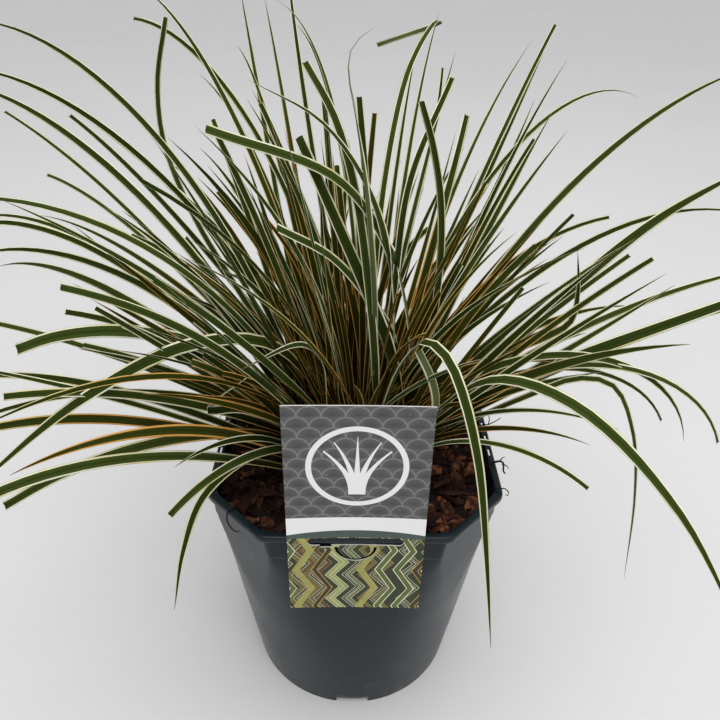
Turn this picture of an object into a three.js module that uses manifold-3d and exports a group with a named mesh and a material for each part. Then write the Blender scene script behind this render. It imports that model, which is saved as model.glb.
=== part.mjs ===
// Variegated sedge in its nursery pot: an octagonal-rimmed plastic container, the bark mix that
// fills it, the tuft of keeled leaf blades that grows from the mix, and the card label that hangs
// on the pot's lip by its slit. Millimetres, +Z up, origin at the middle of the pot's base.

import * as THREE from 'three';
import Module from 'manifold-3d';

const wasm = await Module();
wasm.setup();

// ---------------------------------------------------------------- driving dimensions
const FIT_GAP = 0.3; // clearance between pieces that touch
const MESH_TOLERANCE = 0.12; // slivers thinner than this are cleaned away after joining
const WELD_DIGITS = 4; // decimals to which two corners count as one

const POT = {
  rimHalfAcross: 95, // lip, flat side to middle
  rimChamferAcross: 107.8, // lip, corner face to middle
  rimTop: 196.5,
  rimRounding: 6, // how far the lip's rounding circle stands outside its corner faces
  lipHeight: 5,
  lipOverhang: 3,
  lipEdge: 0.6, // softened edge of the lip
  collarBottom: 175.5,
  collarStep: 0.5, // height in which the wall steps out to the collar
  collarProud: 0.7,
  collarRounding: 2,
  collarFlare: 0.05,
  wall: 1.8,
  baseRadius: 78,
  coneSlope: 0.148, // radius gained per millimetre of height
  mainAtBase: 84.73, // the four long flat faces, carried down to the base
  mainSlope: 0.037,
  chamferAtBase: 80.98, // the four corner faces, carried down to the base
  chamferSlope: 0.12,
  floorTop: 8,
  floorThickness: 2.5,
  bossRadius: 22, // centre foot under the floor
  cornerSharpness: 0.9, // higher is a crisper corner between two faces
  flatsClear: 50, // sets the flat faces outside a plain round level
};
const NOTCH = { count: 4, width: 24, height: 4.5, depth: 14, below: 2 };
const DRAIN = { count: 8, radius: 5, ring: 50, sides: 10, from: 2, to: 12 };

const MIX = {
  crownLevel: 174,
  wallLevel: 181,
  dish: 1.5, // above 1 the surface climbs late, close to the wall
  wave: 1.5, // height of the swells, the product of two ripples
  ripples: [{ around: 3, outward: 5 }, { around: 2, outward: 7 }],
  ringShares: [1, 0.8, 0.6, 0.4],
  wellRadius: 37,
  wellDepth: 8,
  wellSides: 24,
};
const BARK = {
  count: 60,
  innerRing: 42,
  outerRing: 94,
  length: [12, 27],
  width: [7, 12],
  thickness: [4, 7],
  trim: [0.62, 1], // how much of its full size each corner keeps
  roll: [-0.45, 0.45],
  pitch: [-0.35, 0.35],
  raised: 0.15, // part of its thickness by which a chip sits above the surface
};

const CROWN = {
  level: 180,
  rootRadius: 33,
  coreSides: 24,
  // the packed bases of the shoots, as [radius, height]
  coreProfile: [[0, 166.3], [36.7, 166.3], [36.7, 184], [34, 198], [27, 217], [15, 232], [0, 238]],
};
const BLADE = {
  outerStations: [0, 0.16, 0.34, 0.5, 0.64, 0.78, 0.9, 1],
  innerStations: [0, 0.2, 0.42, 0.62, 0.82, 1],
  keel: 1.3, // depth of the keel under the two margins
  bendPower: 1.5, // how late along its length a blade bends over
  faceTurn: 48, // degrees by which side blades turn their upper face to the front
  faceScatter: 50,
  turnedBy: 0.5, // share of the length by which a blade has turned
  arcSteps: 50,
  rootShare: 0.6, // width at the root
  fullWidthFrom: 0.3,
  taperFrom: 0.55,
  taperPower: 1.6,
  cutShare: 0.8, // width left at a square-cut tip
  raiseStep: 5, // degrees
  steepest: 88,
};
// How far a fan's blades stray from their even places: degrees, and shares of length and width.
const SCATTER = {
  heading: 12,
  rise: 8,
  bend: 14,
  length: 0.12,
  width: 0.24,
  sweep: 24,
  rootTurn: 90, // degrees round the crown from the blade's heading
  rootReach: [0.5, 1], // shares of the root radius
  cutChance: 0.35,
};
// The inner blades stand in lobes. Each lobe has its heading, the spread of its blades to both
// sides of that, and how far from upright they lean. Degrees and millimetres.
const LOBES = [
  { count: 32, heading: 155, spread: 72, lean: [2, 62], length: [160, 300] },
  { count: 18, heading: 32, spread: 48, lean: [14, 56], length: [140, 270] },
  { count: 9, heading: 268, spread: 84, lean: [0, 40], length: [110, 170] },
];
const INNER = {
  bend: [5, 60],
  width: [3.4, 6.6],
  sweep: [-26, 26],
  rootTurn: 180,
  rootReach: [0.2, 1],
  cutChance: 0.3,
};
// Blades keep clear of the card and of the lip.
const CLEARANCE = {
  cardFront: -80,
  cardHalfWidth: 52,
  aboveCard: 8,
  rimFrom: 78,
  rimTo: 104,
  aboveRim: 6,
};
const SEEDS = { bark: 4177, fans: 1207, inner: 90210, twist: 31 };

const CARD = {
  width: 81.5,
  bottom: 134,
  top: 294,
  thickness: 0.8,
  strips: 12,
  slitHalfWidth: 28.5,
  slitClearance: 0.5,
  lipThrough: 0.6, // how far the card's back sits inside the lip's face, at the middle
  cutDepth: 20,
};
const TONGUE = { halfWidth: 12.8, drop: 12, cut: 1.3, below: 1.6, segments: 10 };

// ---------------------------------------------------------------- shared helpers
const radians = THREE.MathUtils.degToRad;

// Seeded draws, so that every build places the same blades and chips.
function seededDraws(seed) {
  let state = seed >>> 0;
  return () => {
    state = (Math.imul(state, 1664525) + 1013904223) >>> 0;
    return state / 4294967296;
  };
}

function between([low, high], draw) {
  return low + (high - low) * draw;
}

function toSolid(geometry) {
  return new wasm.Manifold(new wasm.Mesh({
    numProp: 3,
    vertProperties: geometry.getAttribute('position').array,
    triVerts: Uint32Array.from(geometry.index.array),
  }));
}

function toGeometry(solid) {
  const mesh = solid.getMesh();
  const geometry = new THREE.BufferGeometry();
  geometry.setAttribute('position', new THREE.BufferAttribute(mesh.vertProperties, 3));
  geometry.setIndex(new THREE.BufferAttribute(mesh.triVerts, 1));
  geometry.computeVertexNormals();
  return geometry;
}

// Fuses solids into one body. Hollows sealed inside it are filled, and loose scraps dropped.
function fuse(solids) {
  const bodies = wasm.Manifold.union(solids).simplify(MESH_TOLERANCE).decompose();
  return bodies.reduce((largest, body) => (body.volume() > largest.volume() ? body : largest));
}

function indexed(points, triangles) {
  const geometry = new THREE.BufferGeometry();
  geometry.setAttribute(
    'position',
    new THREE.Float32BufferAttribute(points.flatMap((point) => point.toArray()), 3),
  );
  geometry.setIndex(triangles);
  return geometry;
}

// Skins a stack of equal rings, each closed by a fan to a middle point at its two ends. The
// diagonals lean the same way whether the stack runs up or down, so that a skin inside another
// follows it facet by facet.
function skinRings(firstMiddle, rings, lastMiddle) {
  const sides = rings[0].length;
  const points = [firstMiddle, ...rings.flat(), lastMiddle];
  const last = points.length - 1;
  const triangles = [];
  for (let side = 0; side < sides; side += 1) {
    const next = (side + 1) % sides;
    triangles.push(0, 1 + next, 1 + side);
    for (let ring = 0; ring < rings.length - 1; ring += 1) {
      const here = 1 + ring * sides;
      const there = here + sides;
      if (rings[ring + 1][side].z < rings[ring][side].z) {
        triangles.push(here + side, here + next, there + side);
        triangles.push(here + next, there + next, there + side);
      } else {
        triangles.push(here + side, here + next, there + next);
        triangles.push(here + side, there + next, there + side);
      }
    }
    triangles.push(last, last - sides + side, last - sides + next);
  }
  return indexed(points, triangles);
}

// A closed solid of revolution with its seam joined, from [radius, height] pairs on the axis.
function turned(profile, sides) {
  const rings = profile.slice(1, -1).map(([radius, height]) => (
    Array.from({ length: sides }, (_, side) => {
      const angle = (side / sides) * Math.PI * 2;
      return new THREE.Vector3(radius * Math.cos(angle), radius * Math.sin(angle), height);
    })
  ));
  const middle = ([, height]) => new THREE.Vector3(0, 0, height);
  return skinRings(middle(profile[0]), rings, middle(profile.at(-1)));
}

// ---------------------------------------------------------------- nursery pot
// Seen from above the lip is an octagon with four long sides and four short corner faces. Lower
// down each flat face dies out into a plain cone.
const QUARTER_ANGLES = [0, 11, 22, 28.2, 31.2, 34.2, 45, 55.8, 58.8, 61.8, 68, 79];
const RING_ANGLES = [0, 90, 180, 270].flatMap((turn) => (
  QUARTER_ANGLES.map((angle) => radians(angle + turn))
));

// The smallest of several distances, rounded off where two of them are nearly equal.
function softMinimum(distances) {
  const least = Math.min(...distances);
  const sharp = POT.cornerSharpness;
  const sum = distances.reduce((total, value) => total + Math.exp(-sharp * (value - least)), 0);
  return least - Math.log(sum) / sharp;
}

// Distance from the axis to the outline whose faces lie at the given distances.
function outlineRadius(angle, { main, chamfer, round }) {
  const quarter = Math.PI / 2;
  const fromMain = angle - Math.round(angle / quarter) * quarter;
  const fromCorner = angle - (Math.floor(angle / quarter) + 0.5) * quarter;
  return softMinimum([main / Math.cos(fromMain), chamfer / Math.cos(fromCorner), round]);
}

function wallLevel(height) {
  return {
    height,
    main: POT.mainAtBase + POT.mainSlope * height,
    chamfer: POT.chamferAtBase + POT.chamferSlope * height,
    round: POT.baseRadius + POT.coneSlope * height,
  };
}

function collarLevel(height) {
  const flare = (height - POT.collarBottom) * POT.collarFlare;
  const wall = wallLevel(POT.collarBottom);
  return {
    height,
    main: wall.main + POT.collarProud,
    chamfer: wall.chamfer + POT.collarProud + flare,
    round: wall.round + POT.collarProud + POT.collarRounding + flare,
  };
}

function lipLevel(height, setBack = 0) {
  return {
    height,
    main: POT.rimHalfAcross - setBack,
    chamfer: POT.rimChamferAcross - setBack,
    round: POT.rimChamferAcross + POT.rimRounding - setBack,
  };
}

function shrunk(level, amount) {
  return {
    height: level.height,
    main: level.main - amount,
    chamfer: level.chamfer - amount,
    round: level.round - amount,
  };
}

function ringAt(level) {
  return RING_ANGLES.map((angle) => {
    const radius = outlineRadius(angle, level);
    return new THREE.Vector3(radius * Math.cos(angle), radius * Math.sin(angle), level.height);
  });
}

function roundLevel(radius, height) {
  const outside = radius + POT.flatsClear;
  return { height, main: outside, chamfer: outside, round: radius };
}

const WALL_HEIGHTS = [60, 84, 106, 140];
const LIP_BOTTOM = POT.rimTop - POT.lipHeight;

function buildPot() {
  const underFloor = POT.floorTop - POT.floorThickness;
  const collarTop = shrunk(lipLevel(LIP_BOTTOM), POT.lipOverhang);
  const levels = [
    roundLevel(POT.bossRadius, 0),
    roundLevel(POT.bossRadius, underFloor),
    shrunk(wallLevel(underFloor), POT.wall),
    shrunk(wallLevel(0), POT.wall),
    wallLevel(0),
    ...WALL_HEIGHTS.map(wallLevel),
    wallLevel(POT.collarBottom - POT.collarStep),
    collarLevel(POT.collarBottom),
    collarTop,
    lipLevel(LIP_BOTTOM, POT.lipEdge),
    lipLevel(LIP_BOTTOM + POT.lipEdge),
    lipLevel(POT.rimTop - POT.lipEdge),
    lipLevel(POT.rimTop, POT.lipEdge),
    { ...shrunk(collarTop, POT.wall), height: POT.rimTop },
    shrunk(collarLevel(POT.collarBottom), POT.wall),
    ...WALL_HEIGHTS.toReversed().map((height) => shrunk(wallLevel(height), POT.wall)),
    shrunk(wallLevel(POT.floorTop), POT.wall),
  ];
  const shell = toSolid(skinRings(
    new THREE.Vector3(0, 0, 0),
    levels.map(ringAt),
    new THREE.Vector3(0, 0, POT.floorTop),
  ));
  const cuts = [];
  for (let index = 0; index < NOTCH.count; index += 1) {
    cuts.push(toSolid(notchCut(360 * index / NOTCH.count)));
  }
  for (let index = 0; index < DRAIN.count; index += 1) {
    const angle = radians(360 * (index + 0.5) / DRAIN.count);
    const { radius, from, to } = DRAIN;
    const hole = turned([[0, from], [radius, from], [radius, to], [0, to]], DRAIN.sides);
    hole.translate(DRAIN.ring * Math.cos(angle), DRAIN.ring * Math.sin(angle), 0);
    cuts.push(toSolid(hole));
  }
  return toGeometry(shell.subtract(wasm.Manifold.union(cuts)));
}

// A box standing across the skirt at the given heading, open below the base.
function notchCut(heading) {
  const near = POT.baseRadius - NOTCH.depth / 2;
  const far = POT.baseRadius + NOTCH.depth / 2;
  const half = NOTCH.width / 2;
  const corners = [];
  for (const z of [-NOTCH.below, NOTCH.height]) {
    corners.push(
      new THREE.Vector3(near, -half, z),
      new THREE.Vector3(far, -half, z),
      new THREE.Vector3(far, half, z),
      new THREE.Vector3(near, half, z),
    );
  }
  const geometry = indexed(corners, BOX_TRIANGLES);
  geometry.rotateZ(radians(heading));
  return geometry;
}

// Corner order: four below, anticlockwise, then the four above them.
const BOX_TRIANGLES = [
  0, 2, 1, 0, 3, 2, 4, 5, 6, 4, 6, 7, 0, 1, 5, 0, 5, 4,
  1, 2, 6, 1, 6, 5, 2, 3, 7, 2, 7, 6, 3, 0, 4, 3, 4, 7,
];

// ---------------------------------------------------------------- growing mix
// The mix fills the pot to a little under the lip, with bark chips lying on it and a round well
// where the crown of the plant sits.
function mixSurface(share, angle) {
  const slope = MIX.crownLevel + (MIX.wallLevel - MIX.crownLevel) * share ** MIX.dish;
  const [first, second] = MIX.ripples.map(({ around, outward }) => (
    Math.sin(around * angle + outward * share)
  ));
  return slope + MIX.wave * first * second;
}

function mixLevel(height) {
  const level = height > POT.collarBottom ? collarLevel(POT.collarBottom) : wallLevel(height);
  return { ...shrunk(level, POT.wall + 2 * FIT_GAP), height };
}

function barkChip(draw) {
  const angle = draw() * Math.PI * 2;
  const share = Math.sqrt(draw());
  const distance = BARK.innerRing + (BARK.outerRing - BARK.innerRing) * share;
  const half = [BARK.length, BARK.width, BARK.thickness].map((range) => between(range, draw()) / 2);
  const corners = [];
  for (const z of [-1, 1]) {
    for (const [x, y] of [[-1, -1], [1, -1], [1, 1], [-1, 1]]) {
      const trim = between(BARK.trim, draw());
      corners.push(new THREE.Vector3(x * half[0] * trim, y * half[1] * trim, z * half[2]));
    }
  }
  const chip = indexed(corners, BOX_TRIANGLES);
  chip.rotateX(between(BARK.roll, draw()));
  chip.rotateY(between(BARK.pitch, draw()));
  chip.rotateZ(draw() * Math.PI);
  const level = mixSurface(distance / BARK.outerRing, angle) + 2 * half[2] * BARK.raised;
  chip.translate(distance * Math.cos(angle), distance * Math.sin(angle), level);
  return toSolid(chip);
}

function buildMix() {
  const bottom = POT.floorTop + FIT_GAP;
  const heights = [bottom, ...WALL_HEIGHTS, POT.collarBottom - POT.collarStep];
  const envelopeRings = heights.map((height) => ringAt(mixLevel(height)));
  const topRings = MIX.ringShares.map((share) => RING_ANGLES.map((angle) => {
    const radius = outlineRadius(angle, mixLevel(MIX.wallLevel)) * share;
    return new THREE.Vector3(
      radius * Math.cos(angle),
      radius * Math.sin(angle),
      mixSurface(share, angle),
    );
  }));
  const middle = new THREE.Vector3(0, 0, bottom);
  const crown = new THREE.Vector3(0, 0, MIX.crownLevel);
  const body = toSolid(skinRings(middle, [...envelopeRings, ...topRings], crown));
  const tall = ringAt(mixLevel(MIX.wallLevel)).map((point) => point.clone().setZ(POT.rimTop));
  const above = crown.clone().setZ(POT.rimTop);
  const envelope = toSolid(skinRings(middle, [...envelopeRings, tall], above));
  const wellFloor = MIX.crownLevel - MIX.wellDepth;
  const { wellRadius } = MIX;
  const well = toSolid(turned(
    [[0, wellFloor], [wellRadius, wellFloor], [wellRadius, POT.rimTop], [0, POT.rimTop]],
    MIX.wellSides,
  ));
  const draw = seededDraws(SEEDS.bark);
  const chips = Array.from({ length: BARK.count }, () => barkChip(draw));
  const heaped = fuse([body, ...chips]);
  return toGeometry(fuse([heaped.intersect(envelope).subtract(well)]));
}

// ---------------------------------------------------------------- sedge tuft
// The long outer blades grow in fans. Along a fan the blades stand at even steps from its first
// blade to its last, and stray a little from them. A blade is [heading, rise, bend, length, width,
// sweep]: the way it leaves the root, its rise above the horizon there, how far it bends over by
// the tip, its size, and how far it swings round on the way. Degrees and millimetres.
const FANS = [
  // back left, tall, arching over
  { count: 5, first: [153, 58, 74, 440, 5.4, 0], last: [125, 70, 72, 420, 4.6, 0] },
  // back, nearly straight
  { count: 3, first: [112, 50, 20, 430, 4, 0], last: [102, 60, 40, 420, 4, -15] },
  // back, upright and tipping over
  { count: 4, first: [118, 65, 60, 360, 4, 0], last: [92, 88, 90, 390, 3.2, 10] },
  // left, held out level
  { count: 5, first: [140, 38, 20, 390, 4, 0], last: [153, 28, 50, 410, 6, 0] },
  // left, arching
  { count: 4, first: [158, 50, 70, 320, 4.4, 0], last: [180, 70, 100, 340, 5.6, 0] },
  // left, low
  { count: 4, first: [166, 25, 40, 340, 5.4, 0], last: [196, 33, 80, 300, 7, 0] },
  // left, short
  { count: 5, first: [166, 35, 20, 170, 5, 0], last: [205, 45, 50, 220, 8, 0] },
  // front left, short
  { count: 4, first: [204, 65, 40, 125, 5.6, 0], last: [232, 50, 70, 145, 5, 0] },
  // back right, tall
  { count: 6, first: [80, 74, 50, 340, 3.2, 0], last: [50, 46, 15, 360, 4.8, 0] },
  // back right, leaning out
  { count: 4, first: [34, 62, 45, 300, 5, 30], last: [50, 58, 30, 325, 3.6, 20] },
  // right, long, arching over
  { count: 3, first: [47, 67, 92, 400, 4.4, 0], last: [12, 32, 50, 400, 5, 0] },
  // right, long, held out
  { count: 2, first: [33, 56, 50, 430, 6, 0], last: [14, 32, 30, 340, 5.6, 0] },
  // right, stiff
  { count: 5, first: [30, 40, 20, 240, 4, 0], last: [-25, 60, 5, 210, 6, 0] },
  // right, drooping
  { count: 4, first: [0, 50, 95, 210, 3.2, 0], last: [-10, 62, 140, 285, 5, 0] },
  // front right, short
  { count: 3, first: [-12, 40, 50, 155, 4, 0], last: [-38, 58, 80, 165, 4.4, 0] },
];

// Blades that fold, double back or hang over something, each by the points it passes through.
const ROUTED_BLADES = [
  // hangs down in front of the lip
  {
    width: 6,
    cut: false,
    route: [
      [10, -15, 180], [18, -32, 250], [26, -46, 290], [36, -62, 314], [46, -79, 314],
      [54, -94, 300], [63, -110, 268], [71, -123, 215], [79, -136, 150],
    ],
  },
  // hangs down past the right side
  {
    width: 4.6,
    cut: false,
    route: [
      [25, -5, 180], [70, -10, 215], [110, -15, 243], [142, -17, 260], [164, -20, 257],
      [184, -23, 222], [198, -25, 165], [209, -26, 80],
    ],
  },
  // wide, arching out over the left side
  {
    width: 8.4,
    cut: false,
    route: [
      [-20, -5, 180], [-30, -10, 250], [-55, -17, 284], [-100, -30, 290], [-165, -50, 262],
      [-240, -75, 205],
    ],
  },
  // broad, held out level over the left side
  {
    width: 9,
    cut: true,
    route: [
      [-22, -2, 180], [-42, -5, 226], [-98, -12, 278], [-145, -18, 292], [-182, -24, 291],
      [-205, -28, 284],
    ],
  },
  // broad, low over the left side and drooping
  {
    width: 7.6,
    cut: true,
    route: [
      [-24, -4, 180], [-55, -12, 206], [-90, -22, 216], [-140, -36, 216], [-188, -50, 204],
      [-224, -60, 186],
    ],
  },
  // hangs down over the front left corner
  {
    width: 5.2,
    cut: false,
    route: [
      [-20, -14, 180], [-45, -34, 212], [-68, -54, 222], [-92, -74, 210], [-106, -86, 176],
      [-116, -94, 128],
    ],
  },
  // broad, straight out to the right and rising
  {
    width: 9,
    cut: false,
    route: [
      [28, 12, 180], [66, 28, 208], [105, 45, 236], [165, 75, 285], [225, 105, 322], [320, 150, 356],
    ],
  },
  // broad, lower out to the right
  {
    width: 9.4,
    cut: true,
    route: [[30, 0, 180], [86, 8, 225], [140, 14, 251], [190, 18, 272], [244, 22, 294]],
  },
  // arches out over the front right corner
  {
    width: 6.8,
    cut: false,
    route: [
      [20, -18, 180], [45, -45, 250], [75, -75, 298], [110, -110, 304], [150, -150, 275],
      [185, -185, 220],
    ],
  },
  // stands up straight behind the left fan
  {
    width: 4.8,
    cut: true,
    route: [
      [-18, 18, 180], [-50, 50, 222], [-90, 90, 266], [-126, 126, 312], [-146, 146, 360],
      [-146, 150, 402], [-132, 140, 446],
    ],
  },
  // broad, rising across the middle and leaning back to the left
  {
    width: 8,
    cut: true,
    route: [
      [30, -12, 180], [30, 0, 227], [21, 2, 270], [6, 1, 310], [-9, -2, 348], [-33, -8, 407],
    ],
  },
  // over the middle, tipping forward to the left
  {
    width: 5.2,
    cut: false,
    route: [
      [20, 2, 180], [24, 6, 256], [20, 5, 322], [7, 2, 372], [-20, -5, 414], [-57, -15, 437],
    ],
  },
  // broad, over the middle, its end held out level to the left
  {
    width: 7.4,
    cut: true,
    route: [
      [24, 6, 180], [35, 13, 240], [32, 11, 290], [18, 6, 338], [-12, -4, 383], [-78, -28, 416],
    ],
  },
  // broad, lower, its end held out to the left
  {
    width: 8.4,
    cut: true,
    route: [[26, 10, 180], [36, 24, 222], [26, 18, 262], [7, 5, 304], [-16, -12, 340], [-44, -31, 365]],
  },
  // behind those, leaning back to the left
  {
    width: 5.6,
    cut: true,
    route: [[14, -12, 180], [12, -8, 260], [6, -4, 320], [-2, 2, 372], [-14, 12, 412], [-31, 26, 439]],
  },
  // thin, upright, with its tip hooked over to the right
  {
    width: 4,
    cut: false,
    route: [
      [8, 8, 180], [11, -4, 290], [5, -6, 370], [-2, 4, 415], [-7, 9, 438], [-4, 4, 452], [6, 2, 460],
    ],
  },
  // upright on the right, its end bent back towards the middle
  {
    width: 5.4,
    cut: true,
    route: [[28, 14, 180], [48, 28, 240], [54, 33, 310], [51, 31, 358], [43, 26, 394], [34, 20, 420]],
  },
  // leaning out to the back right, stiff
  {
    width: 5,
    cut: true,
    route: [[14, 14, 180], [24, 30, 290], [32, 44, 366], [60, 92, 420]],
  },
  // out to the right, its end turned up
  {
    width: 6.4,
    cut: false,
    route: [
      [28, -4, 180], [78, 10, 245], [104, 14, 261], [128, 18, 270], [143, 20, 280], [144, 20, 302],
      [138, 19, 332],
    ],
  },
  // bent over level in the front of the crown
  {
    width: 5.4,
    cut: false,
    route: [[-18, -12, 180], [-20, -15, 240], [-22, -18, 272], [-34, -28, 290], [-66, -56, 290]],
  },
  // doubled back on itself, left of the crown
  {
    width: 6.4,
    cut: true,
    route: [[-20, -6, 180], [-46, -20, 222], [-74, -34, 246], [-92, -40, 249], [-66, -36, 271]],
  },
  // tall, with its end folded over to the left
  {
    width: 4.6,
    cut: true,
    route: [
      [4, 6, 180], [9, 20, 280], [16, 45, 365], [30, 92, 420], [56, 172, 444], [61, 190, 440],
      [14, 190, 424],
    ],
  },
  // short stub behind the card
  {
    width: 7.4,
    cut: true,
    route: [[26, -22, 180], [38, -44, 225], [45, -62, 270], [42, -60, 286], [34, -50, 300]],
  },
];

function arcSpine({ heading, rise, bend, length, sweep, rootTurn, rootReach }) {
  const start = radians(heading);
  const root = start + radians(rootTurn);
  const reach = CROWN.rootRadius * rootReach;
  const point = new THREE.Vector3(reach * Math.cos(root), reach * Math.sin(root), CROWN.level);
  const spine = [point.clone()];
  const step = length / BLADE.arcSteps;
  for (let index = 0; index < BLADE.arcSteps; index += 1) {
    const share = (index + 0.5) / BLADE.arcSteps;
    const lift = radians(rise - bend * share ** BLADE.bendPower);
    const turn = start + radians(sweep * share);
    point.x += step * Math.cos(lift) * Math.cos(turn);
    point.y += step * Math.cos(lift) * Math.sin(turn);
    point.z += step * Math.sin(lift);
    spine.push(point.clone());
  }
  return spine;
}

function routeSpine(route) {
  const curve = new THREE.CatmullRomCurve3(route.map((point) => new THREE.Vector3(...point)));
  return curve.getSpacedPoints(BLADE.arcSteps);
}

// Narrow at the root, widest at a third, then tapering to a point or to a square cut.
function widthShare(share, cut) {
  const fromRoot = Math.min(1, share / BLADE.fullWidthFrom);
  const towardsTip = Math.max(0, (share - BLADE.taperFrom) / (1 - BLADE.taperFrom));
  const tip = cut ? BLADE.cutShare : 0;
  const body = between([BLADE.rootShare, 1], fromRoot);
  return body * (1 - (1 - tip) * towardsTip ** BLADE.taperPower);
}

// A blade is a thin three-sided bar: two margins and the keel below them.
function bladeSolid(spine, { stations, width, cut, twist }) {
  const points = [];
  for (const share of stations) {
    const index = Math.round(share * BLADE.arcSteps);
    const before = spine[Math.max(0, index - 1)];
    const after = spine[Math.min(BLADE.arcSteps, index + 1)];
    const along = after.clone().sub(before).normalize();
    const outward = new THREE.Vector3(after.x - spine[0].x, after.y - spine[0].y, 0);
    const side = new THREE.Vector3(0, 0, 1).cross(outward.normalize());
    side.addScaledVector(along, -side.dot(along)).normalize();
    side.applyAxisAngle(along, radians(twist * Math.min(1, share / BLADE.turnedBy)));
    const under = side.clone().cross(along).normalize();
    const half = width * widthShare(share, cut) / 2;
    const middle = spine[index];
    if (share === 1 && !cut) {
      points.push(middle.clone());
      continue;
    }
    points.push(middle.clone().addScaledVector(side, half));
    points.push(middle.clone().addScaledVector(side, -half));
    points.push(middle.clone().addScaledVector(under, BLADE.keel));
  }
  const rings = stations.length - (cut ? 1 : 2);
  const triangles = [0, 2, 1];
  for (let ring = 0; ring < rings; ring += 1) {
    for (let corner = 0; corner < 3; corner += 1) {
      const here = ring * 3 + corner;
      const next = ring * 3 + (corner + 1) % 3;
      triangles.push(here, next, here + 3, next, next + 3, here + 3);
    }
  }
  const end = rings * 3;
  if (cut) {
    triangles.push(end, end + 1, end + 2);
  } else {
    triangles.push(end, end + 1, end + 3, end + 1, end + 2, end + 3, end + 2, end, end + 3);
  }
  return toSolid(indexed(points, triangles));
}

function isClear(point) {
  const beforeCard = point.y < CLEARANCE.cardFront
    && Math.abs(point.x) < CLEARANCE.cardHalfWidth
    && point.z < CARD.top + CLEARANCE.aboveCard;
  const reach = Math.max(Math.abs(point.x), Math.abs(point.y));
  const overRim = reach > CLEARANCE.rimFrom
    && reach < CLEARANCE.rimTo
    && point.z < POT.rimTop + CLEARANCE.aboveRim;
  return !beforeCard && !overRim;
}

// Raises a blade at its root until it passes over the lip and behind the card.
function raisedClear(blade) {
  let raised = blade;
  while (raised.rise < BLADE.steepest && !arcSpine(raised).every(isClear)) {
    raised = { ...raised, rise: raised.rise + BLADE.raiseStep };
  }
  return raised;
}

function fanBlades() {
  const draw = seededDraws(SEEDS.fans);
  return FANS.flatMap(({ count, first, last }) => Array.from({ length: count }, (_, index) => {
    const even = first.map((value, column) => (
      THREE.MathUtils.lerp(value, last[column], index / (count - 1))
    ));
    const [heading, rise, bend, length, width, sweep] = even;
    return raisedClear({
      heading: heading + SCATTER.heading * (draw() - 0.5),
      rise: rise + SCATTER.rise * (draw() - 0.5),
      bend: bend + SCATTER.bend * (draw() - 0.5),
      length: length * (1 + SCATTER.length * (draw() - 0.5)),
      width: width * (1 + SCATTER.width * (draw() - 0.5)),
      sweep: sweep + SCATTER.sweep * (draw() - 0.5),
      ...rootPlace(SCATTER, draw),
      cut: draw() < SCATTER.cutChance,
    });
  }));
}

// Where in the crown a blade is rooted, so that neighbouring blades cross.
function rootPlace({ rootTurn, rootReach }, draw) {
  return {
    rootTurn: rootTurn * (draw() - 0.5),
    rootReach: between(rootReach, draw()),
  };
}

function innerBlades() {
  const draw = seededDraws(SEEDS.inner);
  return LOBES.flatMap((lobe) => Array.from({ length: lobe.count }, () => raisedClear({
    heading: lobe.heading + lobe.spread * (2 * draw() - 1),
    rise: 90 - between(lobe.lean, draw()),
    bend: between(INNER.bend, draw()),
    length: between(lobe.length, draw()),
    width: between(INNER.width, draw()),
    sweep: between(INNER.sweep, draw()),
    ...rootPlace(INNER, draw),
    cut: draw() < INNER.cutChance,
  })));
}

function buildTuft() {
  const draw = seededDraws(SEEDS.twist);
  const solids = [toSolid(turned(CROWN.coreProfile, CROWN.coreSides))];
  const facing = (heading) => BLADE.faceTurn * Math.cos(heading);
  const addArc = (blade, stations) => {
    const twist = facing(radians(blade.heading)) + BLADE.faceScatter * (draw() - 0.5);
    solids.push(bladeSolid(arcSpine(blade), { ...blade, stations, twist }));
  };
  fanBlades().forEach((blade) => addArc(blade, BLADE.outerStations));
  innerBlades().forEach((blade) => addArc(blade, BLADE.innerStations));
  for (const { route, width, cut } of ROUTED_BLADES) {
    const stations = BLADE.outerStations;
    const [rootX, rootY] = route[0];
    const [tipX, tipY] = route.at(-1);
    const twist = facing(Math.atan2(tipY - rootY, tipX - rootX));
    solids.push(bladeSolid(routeSpine(route), { stations, width, cut, twist }));
  }
  return toGeometry(fuse(solids));
}

// ---------------------------------------------------------------- card label
// The card bows so that its middle lets the lip through the slit and its sides stand clear of it.
function cardBack(x) {
  const atMiddle = POT.rimHalfAcross - CARD.lipThrough;
  const atSlitEnd = POT.rimHalfAcross + FIT_GAP;
  return -atMiddle - (atSlitEnd - atMiddle) * (x / CARD.slitHalfWidth) ** 2;
}

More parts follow.
